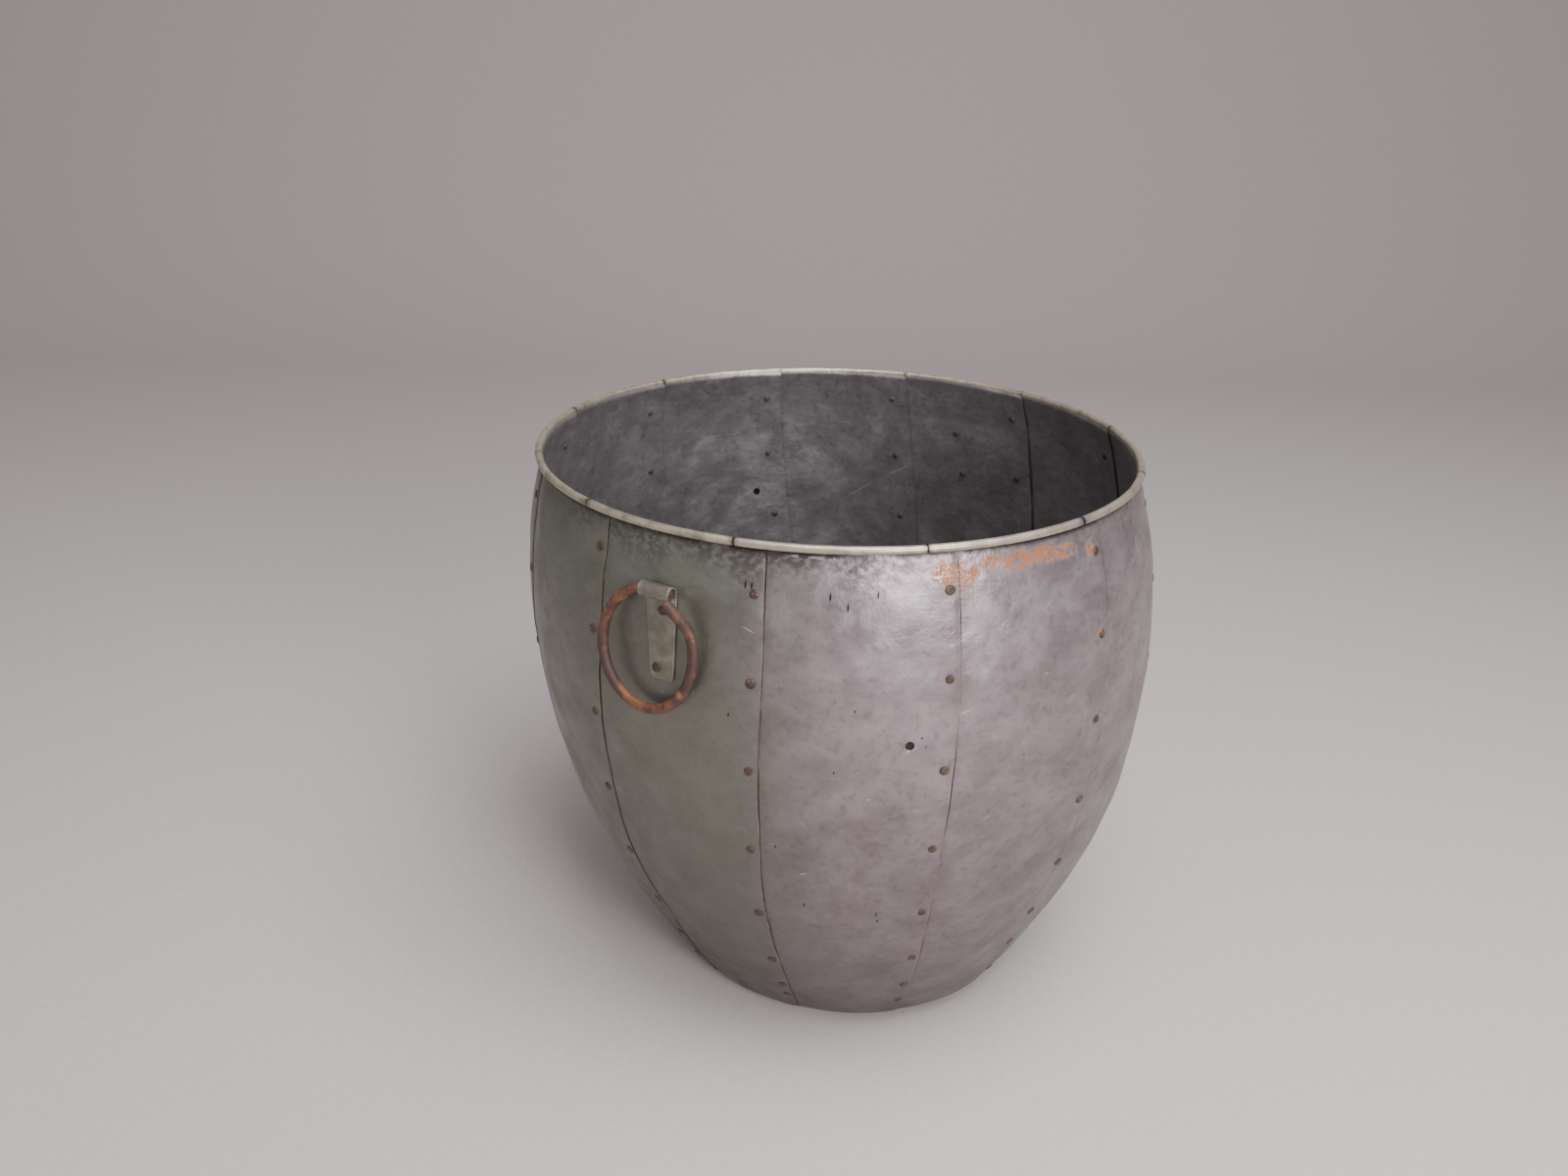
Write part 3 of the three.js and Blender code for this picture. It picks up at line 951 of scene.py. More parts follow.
# ---- Gores -----------------------------------------------------------------------------------
@dataclass
class Gores:
    """The twelve overlapping panels of beaten sheet, each rolled over the wire at its top.

    A place across a gore is in degrees: 0 at its hidden edge, LAP where the neighbour's edge lies
    over it, PITCH where it starts to cover the next gore, and PITCH + LAP at its own visible edge.
    """

    vessel: Vessel
    material: bpy.types.Material
    rivets: Array
    hole_sides: int = 24
    punch_reach: float = 12 * MM
    curl_radius: float = 2.4 * MM
    curl_end: float = -95.0
    curl_trim: float = 0.05
    beaten_edge: float = 0.7 * MM
    edge_wander: float = 0.12
    wander_length: float = 31 * MM
    bead_waves: float = 0.16 * MM
    bead_lift: float = 0.2 * MM
    gaping: tuple[int, ...] = (9, 10)
    dirt_band: float = 20 * MM
    dirtiest: float = 196.0
    wall_steps: int = 150
    curl_steps: int = 22

    def path(self) -> tuple[Array, Array]:
        """The sheet's two faces in section, from the foot up and round the wire.

        Returns:
            The face that looks outward, and the other face.
        """
        shape = self.vessel
        heights = np.linspace(shape.foot, shape.neck, self.wall_steps)
        wall = np.stack([shape.wall_radius(heights), heights], axis=1)
        start = np.array([shape.rim_radius - self.curl_radius, shape.rim_height])
        slope = wall[-1] - wall[-2]
        slope /= np.linalg.norm(slope)
        reach = 0.4 * np.linalg.norm(start - wall[-1])
        t = np.linspace(0, 1, 8)[1:-1, None]
        knots = [wall[-1], wall[-1] + slope * reach, start - np.array([0, reach]), start]
        shares = [(1 - t) ** 3, 3 * (1 - t) ** 2 * t, 3 * (1 - t) * t**2, t**3]
        bend = sum(share * knot for share, knot in zip(shares, knots))
        angle = np.radians(np.linspace(180, self.curl_end, self.curl_steps))[:, None]
        centre = np.array([shape.rim_radius, shape.rim_height])
        curl = centre + self.curl_radius * np.hstack([np.cos(angle), np.sin(angle)])
        outer = np.vstack([wall, bend, curl])
        return outer, other_face(outer, SHEET)

    def stations(self) -> Array:
        """Places across a gore in degrees, closer together at its own edge and its neighbour's."""
        own_edge = PITCH + LAP
        return np.concatenate([
            [0, 0.3],
            np.linspace(0.9, LAP - 0.4, 7),
            np.linspace(LAP - 0.15, LAP + 0.35, 9),
            np.linspace(LAP + 0.9, PITCH - 0.3, 42),
            [PITCH],
            np.linspace(PITCH + 0.6, own_edge - 0.5, 7),
            [own_edge - 0.2, own_edge],
        ])

    def build(self) -> list[bpy.types.Object]:
        """Builds every gore.

        Returns:
            The gores' objects.
        """
        return [self.build_one(k) for k in range(GORES)]

    def build_one(self, k: int) -> bpy.types.Object:
        """Builds one gore.

        Args:
            k: The gore's number, from 0.

        Returns:
            Its object.
        """
        outer, inner = self.path()
        across = self.stations()
        grids = [self.face_grid(outer, across, k, self.beaten_edge), self.face_grid(inner, across, k, 0.0)]
        points = np.concatenate([grid.reshape(-1, 3) for grid in grids])
        valid = np.ones((len(across) - 1, len(outer) - 1), bool)
        in_lap = across[1:] > PITCH + 1e-6
        valid[in_lap, self.wall_steps - 1 :] = False
        values = self.paints(outer, across, k)
        points, faces, kept = drop_loose(points, shell_faces(valid))
        gore = make_piece(f"gore_sheet_{k + 1:02d}", points, faces)
        for name, value in values.items():
            carry(gore, name, value[kept])
        gore.data.materials.append(self.material)
        if self.holds_stray_hole(k):
            gore = self.pierce(gore)
        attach(gore, "vessel")
        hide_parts(f"gore_{k + 1:02d}")
        return gore

    def holds_stray_hole(self, k: int) -> bool:
        """Whether the stray open hole falls in a gore."""
        turn = float(self.vessel.turned(0.0, STRAY_HOLE[1] * MM))
        return (STRAY_HOLE[0] - turn - FIRST_EDGE) % 360 // PITCH == k

    def pierce(self, gore: bpy.types.Object) -> bpy.types.Object:
        """Cuts the stray open hole, a little out of round.

        Args:
            gore: The gore's object.

        Returns:
            The gore, with its hole.
        """
        azimuth, height, radius = STRAY_HOLE[0], STRAY_HOLE[1] * MM, STRAY_HOLE[2] * MM
        middle = self.vessel.place(azimuth, float(self.vessel.wall_radius(height)), height)
        outward = np.array([math.cos(math.radians(azimuth)), math.sin(math.radians(azimuth)), 0])
        up = np.array([0, 0, 1])
        turns = np.linspace(0, 2 * math.pi, self.hole_sides, endpoint=False)
        wobble = radius * (1 + 0.08 * np.sin(3 * turns))
        ring = np.outer(wobble * np.cos(turns), np.cross(outward, up)) + np.outer(wobble * np.sin(turns), up)
        reach = outward * self.punch_reach
        points = np.vstack([middle + ring - reach, middle + ring + reach])
        n = self.hole_sides
        faces = [(i, i + n, (i + 1) % n + n, (i + 1) % n) for i in range(n)]
        faces += [tuple(range(n)), tuple(reversed(range(n, 2 * n)))]
        cutter = make_piece("punch", points, faces)
        modifier = gore.modifiers.new("hole", "BOOLEAN")
        modifier.object = cutter
        pierced = settle(gore)
        bpy.data.objects.remove(cutter)
        return pierced

    def face_grid(self, face: Array, across: Array, k: int, beaten: float) -> Array:
        """Points of one face of a gore.

        Args:
            face: Radius and height of each point along the section.
            across: Places across the gore.
            k: The gore's number.
            beaten: How far the face is beaten back along the gore's visible edge.

        Returns:
            Positions, by place across and along.
        """
        shape = self.vessel
        rng = np.random.default_rng(SEED + k)
        radius, height = face[None, :, 0], face[None, :, 1]
        place = across[:, None]
        rolled = smoothstep(self.wall_steps - 2, self.wall_steps + 5, np.arange(len(face))[None, :])
        flat = 1 - rolled
        trimmed = self.curl_trim + place * (PITCH - 2 * self.curl_trim) / PITCH
        wander = self.edge_wander * smoothstep(PITCH - 1, PITCH + LAP, place)
        wander = wander * np.sin(height / self.wander_length + k) * flat
        azimuth = hidden_edge(k) + place * flat + trimmed * rolled + wander
        azimuth = shape.turned(azimuth, np.minimum(height, shape.neck))
        dents = shape.dents(azimuth, height) + shape.seat(azimuth, height)
        dents = dents + shape.rivet_dimples(azimuth, height, self.rivets) * flat
        waves = np.sin(place * 0.9 + rng.uniform(0, 6)) + np.sin(place * 0.37 + k)
        bead = rolled * self.bead_waves * waves
        lift = rolled * rng.uniform(-1, 1) * self.bead_lift
        own_edge = PITCH + LAP
        pressed = beaten * smoothstep(own_edge - 0.9, own_edge, place) * flat
        radius = radius + shape.rise(place) * flat + dents + bead - pressed
        return shape.place(azimuth, radius, height + lift + bead * 0.5)

    def paints(self, outer: Array, across: Array, k: int) -> dict[str, Array]:
        """Values per point that the zinc reads.

        Args:
            outer: The section's outward face.
            across: Places across the gore.
            k: The gore's number.

        Returns:
            Values by name, for both faces.
        """
        shape = self.vessel
        place, height = np.meshgrid(across, outer[:, 1], indexing="ij")
        along = np.broadcast_to(np.arange(len(outer)), height.shape)
        rolled = smoothstep(self.wall_steps, self.wall_steps + 8, along)
        flat = 1 - rolled
        azimuth = shape.turned(hidden_edge(k) + place, height)
        rivets = -shape.rivet_dimples(azimuth, height, self.rivets) / shape.dimple
        own_edge = PITCH + LAP
        beside_lap = np.exp(-(((place - LAP - 0.4) / 0.6) ** 2))
        laps = beside_lap + 0.6 * np.exp(-(((place - own_edge + 0.3) / 0.8) ** 2))
        dirt = np.clip(0.5 * rivets**2 + 0.35 * laps, 0, 1) * flat
        own_tone = np.random.default_rng(SEED + k).uniform(0, 0.05)
        # Painted shade: the sheet darkens towards the foot, where less light falls.
        tone = own_tone + 0.6 * (1 - smoothstep(20 * MM, 580 * MM, height))
        shared = {"bead": rolled, "tone": tone}

        # The band of dirt under the bead is ragged, and heaviest on the near hanger's side.
        below = np.clip(shape.neck - height, 0, None)
        turn = np.radians(azimuth)
        ragged = self.dirt_band * (1 + 0.35 * np.sin(turn * 19) + 0.2 * np.sin(turn * 43))
        grimy = 0.35 + 0.65 * np.exp(-(((np.remainder(azimuth, 360) - self.dirtiest) / 34) ** 4))
        band = grimy * np.exp(-((below / ragged) ** 2.4)) * flat

        # Outside, a line of painted shade lies beside the neighbour's edge and under the bead. Inside,
        # painted shade lies along the step where the next gore starts, black at the two seams that gape,
        # and at the gores' joints in the curl.
        beside_edge = np.exp(-(((place - LAP - 0.11) / 0.12) ** 4)) * flat
        under_bead = smoothstep(shape.neck - 3 * MM, shape.neck - 1 * MM, height) * flat
        step = np.exp(-(((PITCH - 0.15 - place) / 0.25) ** 2)) * flat
        ends = np.exp(-((place / 0.32) ** 2)) + np.exp(-(((PITCH - place) / 0.32) ** 2))
        inner_shade_line = np.maximum(step * (1.0 if k in self.gaping else 0.25), rolled * ends)
        # The visible edge is pale with wear, and with a painted highlight along it.
        worn = 0.5 * (place > own_edge - 0.1)
        outside = {"dirt": dirt, "band": 0.75 * band, "worn": worn, "inside": 0 * flat, **shared}
        outside["seam_line"] = np.maximum(beside_edge, under_bead)
        inside = {"dirt": 0.8 * dirt, "band": 0.2 * band, "worn": 0 * flat, "inside": flat, **shared}
        inside["seam_line"] = inner_shade_line
        return {name: np.concatenate([outside[name].ravel(), inside[name].ravel()]) for name in outside}


# ---- Base pan --------------------------------------------------------------------------------
@dataclass
class BasePan:
    """The dished pan that closes the foot, its flange riveted inside the gores.

    The turn from the disc up to the flange is given as radii and heights in millimetres.
    """

    vessel: Vessel
    material: bpy.types.Material
    sheet: float = 1.5 * MM
    inset: float = 1.8 * MM
    top: float = 56 * MM
    foot_radius: float = 165 * MM
    turn: tuple[tuple[float, float], ...] = ((181, 3), (190, 8.5))
    segments: int = 240
    steps: int = 46
    disc_steps: int = 13

    def section(self) -> tuple[Array, Array]:
        """The pan's outer and inner faces in section, from the middle of the foot outward.

        Returns:
            Radius and height along the outer face, and along the inner face.
        """
        shape = self.vessel
        flange = [(float(shape.wall_radius(h)) - self.inset, h) for h in (shape.foot, 35 * MM, self.top)]
        turn = [(radius * MM, height * MM) for radius, height in self.turn]
        knots = np.array([(self.foot_radius, 0.0), *turn, *flange])
        length = run_length(knots)
        at = np.linspace(0, length[-1], self.steps)
        slopes = np.gradient(knots, length, axis=0)
        slopes[0] = (1, 0)
        curve = np.stack(
            [smooth_curve(length, knots[:, axis], slopes[:, axis], at) for axis in (0, 1)], axis=1
        )
        curve[:, 1] = np.maximum(curve[:, 1], 0)
        middle = np.linspace(10 * MM, self.foot_radius, self.disc_steps, endpoint=False)
        outer = np.vstack([np.stack([middle, 0 * middle], axis=1), curve])
        return outer, other_face(outer, self.sheet)

    def build(self) -> bpy.types.Object:
        """Builds the pan.

        Returns:
            Its object.
        """
        shape = self.vessel
        outer, inner = self.section()
        azimuth = np.linspace(0, 360, self.segments, endpoint=False)[:, None]
        rings = []
        for face in (outer, inner):
            radius, height = face[None, :, 0], face[None, :, 1]
            bulge = shape.dents(azimuth, np.maximum(height, 0)) * smoothstep(0, 30 * MM, height)
            rings.append(shape.place(azimuth, radius + bulge, height))
        count = len(outer)
        points = np.concatenate([ring.reshape(-1, 3) for ring in rings])
        other = self.segments * count
        faces: Faces = []
        for i in range(self.segments):
            a, b = i * count, (i + 1) % self.segments * count
            for j in range(count - 1):
                quad = (a + j, b + j, b + j + 1, a + j + 1)
                faces.append(quad[::-1])
                faces.append(tuple(p + other for p in quad))
            top = count - 1
            faces.append((a + top, b + top, b + top + other, a + top + other)[::-1])
        under = tuple(i * count for i in range(self.segments))
        faces.append(under)
        faces.append(tuple(p + other for p in reversed(under)))
        pan = make_piece("base_dish", points, faces)
        self.dress(pan, outer)
        return pan

    def dress(self, pan: bpy.types.Object, outer: Array) -> None:
        """Paints the pan's attributes, gives it its material, and hands it to the frame.

        Args:
            pan: The pan's object.
            outer: The outer face in section.
        """
        height = np.tile(outer[:, 1], self.segments)
        lip = np.exp(-(((self.top - height) / (3 * MM)) ** 2))
        scuffed = np.exp(-((height / (9 * MM)) ** 2))
        carry(pan, "dirt", np.tile(np.clip(0.5 * lip + 0.7 * scuffed, 0, 1), 2))
        carry(pan, "worn", np.concatenate([0.5 * lip, 0 * lip]))
        carry(pan, "inside", np.concatenate([0 * lip, np.ones_like(lip)]))
        pan.data.materials.append(self.material)
        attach(pan, "vessel")
        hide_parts("base_pan")


# ---- Rivets ----------------------------------------------------------------------------------
@dataclass
class RivetTree:
    """A geometry tree that sets a rivet on every point, facing along the point's own normal."""

    shape: bpy.types.Object
    material: bpy.types.Material

    def build(self) -> bpy.types.NodeTree:
        """Builds the tree.

        Returns:
            The tree, with inputs for the least and most size, and for the hammering.
        """
        tree, given = start_tree("set_rivets", ("Least Size", "Most Size", "Hammering"))
        normal = add(tree, "GeometryNodeInputNamedAttribute", {"Name": "facing"}, data_type="FLOAT_VECTOR")
        facing = add(tree, "FunctionNodeAlignRotationToVector", {"Vector": normal.outputs[0]}, axis="Z")
        size = add(tree, "FunctionNodeRandomValue", {"Seed": SEED}, data_type="FLOAT")
        tree.links.new(given["Least Size"], size.inputs[2])
        tree.links.new(given["Most Size"], size.inputs[3])
        body = add(tree, "GeometryNodeObjectInfo", {"Object": self.shape})
        spread = {
            "Points": given["Geometry"],
            "Instance": body.outputs["Geometry"],
            "Rotation": facing.outputs[0],
            "Scale": size.outputs[1],
        }
        rivets = add(tree, "GeometryNodeInstanceOnPoints", spread)
        # Realized first, so that no two rivets are hammered alike.
        real = add(tree, "GeometryNodeRealizeInstances", {"Geometry": rivets.outputs[0]})
        noise = add(tree, "ShaderNodeTexNoise", {"Scale": 240.0, "Detail": 1.0})
        middle = {0: noise.outputs["Color"], 1: (0.5, 0.5, 0.5)}
        centred = add(tree, "ShaderNodeVectorMath", middle, operation="SUBTRACT")
        scaled = {0: centred.outputs[0], "Scale": given["Hammering"]}
        beaten = add(tree, "ShaderNodeVectorMath", scaled, operation="SCALE")
        end_tree(tree, real.outputs[0], beaten.outputs[0], self.material)
        return tree


@dataclass
class Rivets:
    """The flat-headed iron rivets: a hammered disc outside, a shank, and a smaller tail inside.

    Slips are how far the maker set one seam's rivets off their rows, in millimetres, most at the foot.
    """

    vessel: Vessel
    material: bpy.types.Material
    head: float = 4.2 * MM
    tail: float = 3.5 * MM
    shank: float = 2.2 * MM
    segments: int = 14
    hammering: float = 0.7 * MM
    seam_grip: float = 2 * SHEET + LAP_AIR
    pan_grip: float = 4.6 * MM
    strap_grip: float = 4.2 * MM
    slips: tuple[tuple[int, float], ...] = ((5, -17.0), (7, 12.0))

    def seam_spots(self) -> Array:
        """Final azimuth and height of every seam rivet, with the maker's small errors."""
        rng = np.random.default_rng(SEED + 100)
        slips = dict(self.slips)
        spots = []
        for k in range(GORES):
            for row in RIVET_ROWS:
                slip = slips.get(k, 0.0) * (1 - 0.75 * row / self.vessel.neck)
                height = row + (slip + rng.uniform(-1.5, 1.5)) * MM
                azimuth = hidden_edge(k) + PITCH + RIVET_IN_LAP + rng.uniform(-0.12, 0.12)
                spots.append((float(self.vessel.turned(azimuth, height)), height))
        return np.array(spots)

    def pan_spots(self) -> Array:
        """Final azimuth and height of every base pan rivet."""
        height = PAN_RIVET_HEIGHT
        azimuths = [hidden_edge(k) + RIVET_IN_LAP for k in range(GORES)]
        return np.array([(float(self.vessel.turned(azimuth, height)), height) for azimuth in azimuths])

    def shape(self, grip: float) -> bpy.types.Object:
        """One rivet about +Z, its head on the sheet's face at Z = 0.

        Args:
            grip: Thickness of the sheets that it holds.

        Returns:
            The rivet's object.
        """
        profile = [(0.0, 1.15), (0.45, 1.2), (0.8, 1.1), (0.97, 0.7), (1.0, 0.1), (0.97, -0.15)]
        rings = [(self.head * r, h * MM) for r, h in profile]
        rings += [(self.shank, -0.15 * MM), (self.shank, -grip + 0.1 * MM)]
        tail = [(1.0, 0.1), (1.0, -0.4), (0.85, -0.95), (0.5, -1.3), (0.0, -1.4)]
        rings += [(self.tail * r, -grip + h * MM) for r, h in tail]
        n = self.segments
        turns = np.linspace(0, 2 * math.pi, n, endpoint=False)
        points = [(0.0, 0.0, rings[0][1])]
        for radius, height in rings[1:-1]:
            points += [(radius * math.cos(t), radius * math.sin(t), height) for t in turns]
        points.append((0.0, 0.0, rings[-1][1]))
        last = len(points) - 1
        faces: Faces = []
        for i in range(n):
            j = (i + 1) % n
            faces.append((0, 1 + i, 1 + j))
            for ring in range(len(rings) - 3):
                a = 1 + ring * n
                faces.append((a + i, a + n + i, a + n + j, a + j))
            faces.append((last, last - n + j, last - n + i))
        return make_piece("rivet_shape", np.array(points), faces)

    def face_point(self, azimuth: float, height: float, standing: float) -> tuple[Array, Array]:
        """A point on the outer sheet's face, and the direction that it faces.

        Args:
            azimuth: Final azimuth in degrees.
            height: Height in metres.
            standing: How far the face stands out from the wall.

        Returns:
            The point and its outward normal.
        """
        shape = self.vessel
        az = azimuth + np.array([0.0, 0.8, 0.0])
        level = height + np.array([0.0, 0.0, 4 * MM])
        radius = shape.wall_radius(level) + standing + shape.dents(az, level) + shape.seat(az, level)
        middle, beside, above = shape.place(az, radius, level)
        normal = np.cross(beside - middle, above - middle)
        return middle, normal / np.linalg.norm(normal)

    def set_on(
        self,
        name: str,
        places: list[tuple[Array, Array]],
        grip: float,
        nodes: list[str],
    ) -> bpy.types.Object:
        """Sets rivets at places, as one piece.

        Args:
            name: The piece's name.
            places: Points and outward normals.
            grip: Thickness that each rivet holds.
            nodes: CAD nodes that the piece stands for.

        Returns:
            The piece.
        """
        mesh = bpy.data.meshes.new(name)
        mesh.from_pydata([p.tolist() for p, _ in places], [], [])
        facing = mesh.attributes.new("facing", "FLOAT_VECTOR", "POINT")
        facing.data.foreach_set("vector", np.concatenate([n for _, n in places]))
        piece = bpy.data.objects.new(name, mesh)
        bpy.context.scene.collection.objects.link(piece)
        body = self.shape(grip)
        tree = RivetTree(body, self.material).build()
        sizes = {"Least Size": 0.92, "Most Size": 1.08, "Hammering": self.hammering}
        made = grow(piece, tree, sizes, sharp=55)
        bpy.data.objects.remove(body)
        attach(made, "vessel")
        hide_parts(*nodes)
        return made

    def build(self, handles: "Handles") -> list[bpy.types.Object]:
        """Builds the seam, pan and hanger rivets.

        Args:
            handles: The handles, which say where their rivets go.

        Returns:
            The three pieces.
        """
        shape = self.vessel
        numbers = [f"{k + 1:02d}" for k in range(GORES)]
        standing = float(shape.rise(PITCH + RIVET_IN_LAP)) - 0.9 * shape.dimple
        seams = [self.face_point(a, h, standing) for a, h in self.seam_spots()]
        seam_nodes = [f"{row}_rivet_{n}" for row in ("neck", "belly") for n in numbers]
        pans = [self.face_point(a, h, standing) for a, h in self.pan_spots()]
        pan_nodes = [f"pan_rivet_{n}" for n in numbers]
        hanger_nodes = [f"hanger_rivet_{side.value}_{i}" for side in Side for i in (1, 2)]
        return [
            self.set_on("seam_rivets", seams, self.seam_grip, seam_nodes),
            self.set_on("base_rivets", pans, self.pan_grip, pan_nodes),
            self.set_on("strap_rivets", handles.rivet_places(), self.strap_grip, hanger_nodes),
        ]


# ---- Rods ------------------------------------------------------------------------------------
@dataclass
class RodTree:
    """A geometry tree that sweeps a round, slightly uneven rod along a curve."""

    material: bpy.types.Material
    sides: int = 20
    cut_end: float = 0.86

    def build(self) -> bpy.types.NodeTree:
        """Builds the tree.

        Returns:
            The tree, with inputs for the rod's radius and its unevenness.
        """
        tree, given = start_tree("forge_rod", ("Radius", "Unevenness"))
        round_bar = {"Resolution": self.sides, "Radius": given["Radius"]}
        ring = add(tree, "GeometryNodeCurvePrimitiveCircle", round_bar)
        taper = add(tree, "GeometryNodeInputRadius")
        sweep = {
            "Curve": given["Geometry"],
            "Profile Curve": ring.outputs[0],
            "Scale": taper.outputs[0],
            "Fill Caps": True,
        }
        rod = add(tree, "GeometryNodeCurveToMesh", sweep)
        noise = add(tree, "ShaderNodeTexNoise", {"Scale": 70.0, "Detail": 2.0})
        level = add(tree, "ShaderNodeMath", {0: noise.outputs[0], 1: 0.5}, operation="SUBTRACT")
        swing = {0: level.outputs[0], 1: given["Unevenness"]}
        size = add(tree, "ShaderNodeMath", swing, operation="MULTIPLY")
        normal = add(tree, "GeometryNodeInputNormal")
        push = {0: normal.outputs[0], "Scale": size.outputs[0]}
        offset = add(tree, "ShaderNodeVectorMath", push, operation="SCALE")
        end_tree(tree, rod.outputs[0], offset.outputs[0], self.material)
        return tree

    def sweep(
        self,
        name: str,
        points: Array,
        radius: float,
        unevenness: float,
        closed: bool,
    ) -> bpy.types.Object:
        """Makes a rod along points.

        Args:
            name: The piece's name.
            points: The rod's centre line.
            radius: The rod's radius.
            unevenness: Largest swing of its surface.
            closed: Whether the rod closes on itself.

        Returns:
            The rod's object.
        """
        curve = bpy.data.curves.new(name, "CURVE")
        curve.dimensions = "3D"
        spline = curve.splines.new("POLY")
        spline.points.add(len(points) - 1)
        spline.points.foreach_set("co", np.hstack([points, np.ones((len(points), 1))]).ravel())
        spline.use_cyclic_u = closed
        if not closed:
            for end in (spline.points[0], spline.points[-1]):
                end.radius = self.cut_end
        piece = bpy.data.objects.new(name, curve)
        bpy.context.scene.collection.objects.link(piece)
        sizes = {"Radius": radius, "Unevenness": unevenness}
        return grow(piece, self.build(), sizes, sharp=50)


# ---- Handles ---------------------------------------------------------------------------------
@dataclass
class Handles:
    """Two hangers of rolled strap, and the open rings that swing in them.

    Each is made as the +X one. A strap rivet is given by its place beside the strap's middle and its
    height. A ring starts straight in its sleeve and ends, bent outward, just short of its mouth.
    """

    vessel: Vessel
    strap_zinc: bpy.types.Material
    ring_rust: bpy.types.Material
    bore: float = 5.3 * MM
    strap: float = 1.4 * MM
    sleeve_length: float = 31 * MM
    foot_width: float = 23.5 * MM
    strap_foot: float = 440 * MM
    corner: float = 2.5 * MM
    sleeve_end: float = -112.0
    edge: float = 0.35 * MM
    rivet_spots: tuple[tuple[float, float], ...] = ((2 * MM, 502 * MM), (-5 * MM, 450 * MM))
    rod: float = 4.75 * MM
    drop: float = 105.8 * MM
    half_width: float = 46.5 * MM
    shift: float = -7.6 * MM
    unevenness: float = 0.5 * MM
    straight_mm: tuple[float, float] = (13, -17)
    start_turn: float = 30.0
    end_turn: float = 329.0
    end_bend: float = 45.0
    end_lift: float = 4 * MM
    end_out: float = 11.8 * MM

    def hinge(self, side: Side) -> Vector:
        """The middle of one ring's hinge axis, from the CAD joint."""
        joint = next(j for j in frame["joints"] if j["name"] == f"ring_{side.value}_swing")
        return Vector(joint["pos_m"])

    def axis_radius(self) -> float:
        """Distance from the vessel's centre line to the hinge axis."""
        hinge = self.hinge(Side.RIGHT)
        return hinge.x - self.vessel.lean[0] * hinge.z

    def front_radius(self, height: float) -> float:
        """Distance from the centre line to the strap's front face."""
        top = self.hinge(Side.RIGHT).z
        sleeve_back = self.axis_radius() - self.bore
        low, high = self.vessel.seat_heights
        near, far = (float(self.vessel.wall_radius(h)) for h in (low, high))
        slope = (far - near) / (high - low)
        return sleeve_back + slope * (height - top)

    def to_world(self, points: Array, side: Side) -> Array:
        """Turns points made for the +X handle to their side, and leans them with the wall.

        Args:
            points: Positions about the upright centre line.
            side: Which handle.

        Returns:
            Positions on the bucket.
        """
        out = points.copy()
        out[:, :2] *= side.outward
        out[:, 0] += self.vessel.lean[0] * points[:, 2]
        out[:, 1] += self.vessel.lean[1] * points[:, 2]
        return out

    def strap_path(self) -> Array:
        """The strap's front face in section, from its foot up and round the sleeve."""
        top = self.hinge(Side.RIGHT).z
        centre = np.array([self.axis_radius(), top])
        heights = np.linspace(self.strap_foot, top - 5 * MM, 36)
        flat = np.array([[self.front_radius(h), h] for h in heights])
        angle = np.radians(np.linspace(180, self.sleeve_end, 34))[:, None]
        arc = centre + self.bore * np.hstack([np.cos(angle), np.sin(angle)])
        return np.vstack([flat, arc])

    def strap_half_width(self, path: Array) -> Array:
        """Half the strap's width at each point of its path, tapering from the sleeve to the foot."""
        top = self.hinge(Side.RIGHT).z
        length = run_length(path)
        neck = top - self.bore - self.strap - self.strap_foot
        taper = np.interp(length, [0, neck], [self.foot_width / 2, self.sleeve_length / 2])
        return taper - self.corner * (1 - np.clip(length / self.corner, 0, 1))

    def build_hanger(self, side: Side) -> bpy.types.Object:
        """Builds one hanger.

        Args:
            side: Which handle.

        Returns:
            The hanger's object.
        """
        path = self.strap_path()
        share = np.linspace(-1, 1, 15)
        y = np.outer(self.strap_half_width(path), share)
        grids = []
        for face in (path, other_face(path, self.strap)):
            x, z = (np.broadcast_to(face[:, [axis]], y.shape) for axis in (0, 1))
            grids.append(np.stack([x, y, z], axis=-1).reshape(-1, 3))
        points = self.to_world(np.concatenate(grids), side)
        valid = np.ones((len(path) - 1, len(share) - 1), bool)
        faces = [tuple(reversed(f)) for f in shell_faces(valid)]
        hanger = make_piece(f"hanger_strap_{side.value}", points, faces)
        near = np.tile(np.abs(share), 2 * len(path))
        carry(hanger, "dirt", 0.25 + 0.3 * (1 - near))
        carry(hanger, "worn", 0.4 * (near > 0.95))
        hanger.data.materials.append(self.strap_zinc)
        bevel = hanger.modifiers.new("edges", "BEVEL")
        bevel.width = self.edge
        bevel.segments = 2
        bevel.limit_method = "ANGLE"
        bevel.angle_limit = math.radians(50)
        made = settle(hanger)
        smooth(made)
        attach(made, "vessel")
        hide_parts(f"hanger_{side.value}")
        return made

    def rivet_places(self) -> list[tuple[Array, Array]]:
        """Points and outward normals of the four hanger rivets."""
        places = []
        front = np.array([[self.front_radius(h), 0.0, h] for h in self.vessel.seat_heights])
        spots = np.array([[self.front_radius(h), beside, h] for beside, h in self.rivet_spots])
        for side in Side:
            low, high = self.to_world(front, side)
            normal = np.cross([0.0, float(side.outward), 0.0], high - low)
            normal /= np.linalg.norm(normal)
            places += [(point, normal) for point in self.to_world(spots, side)]
        return places

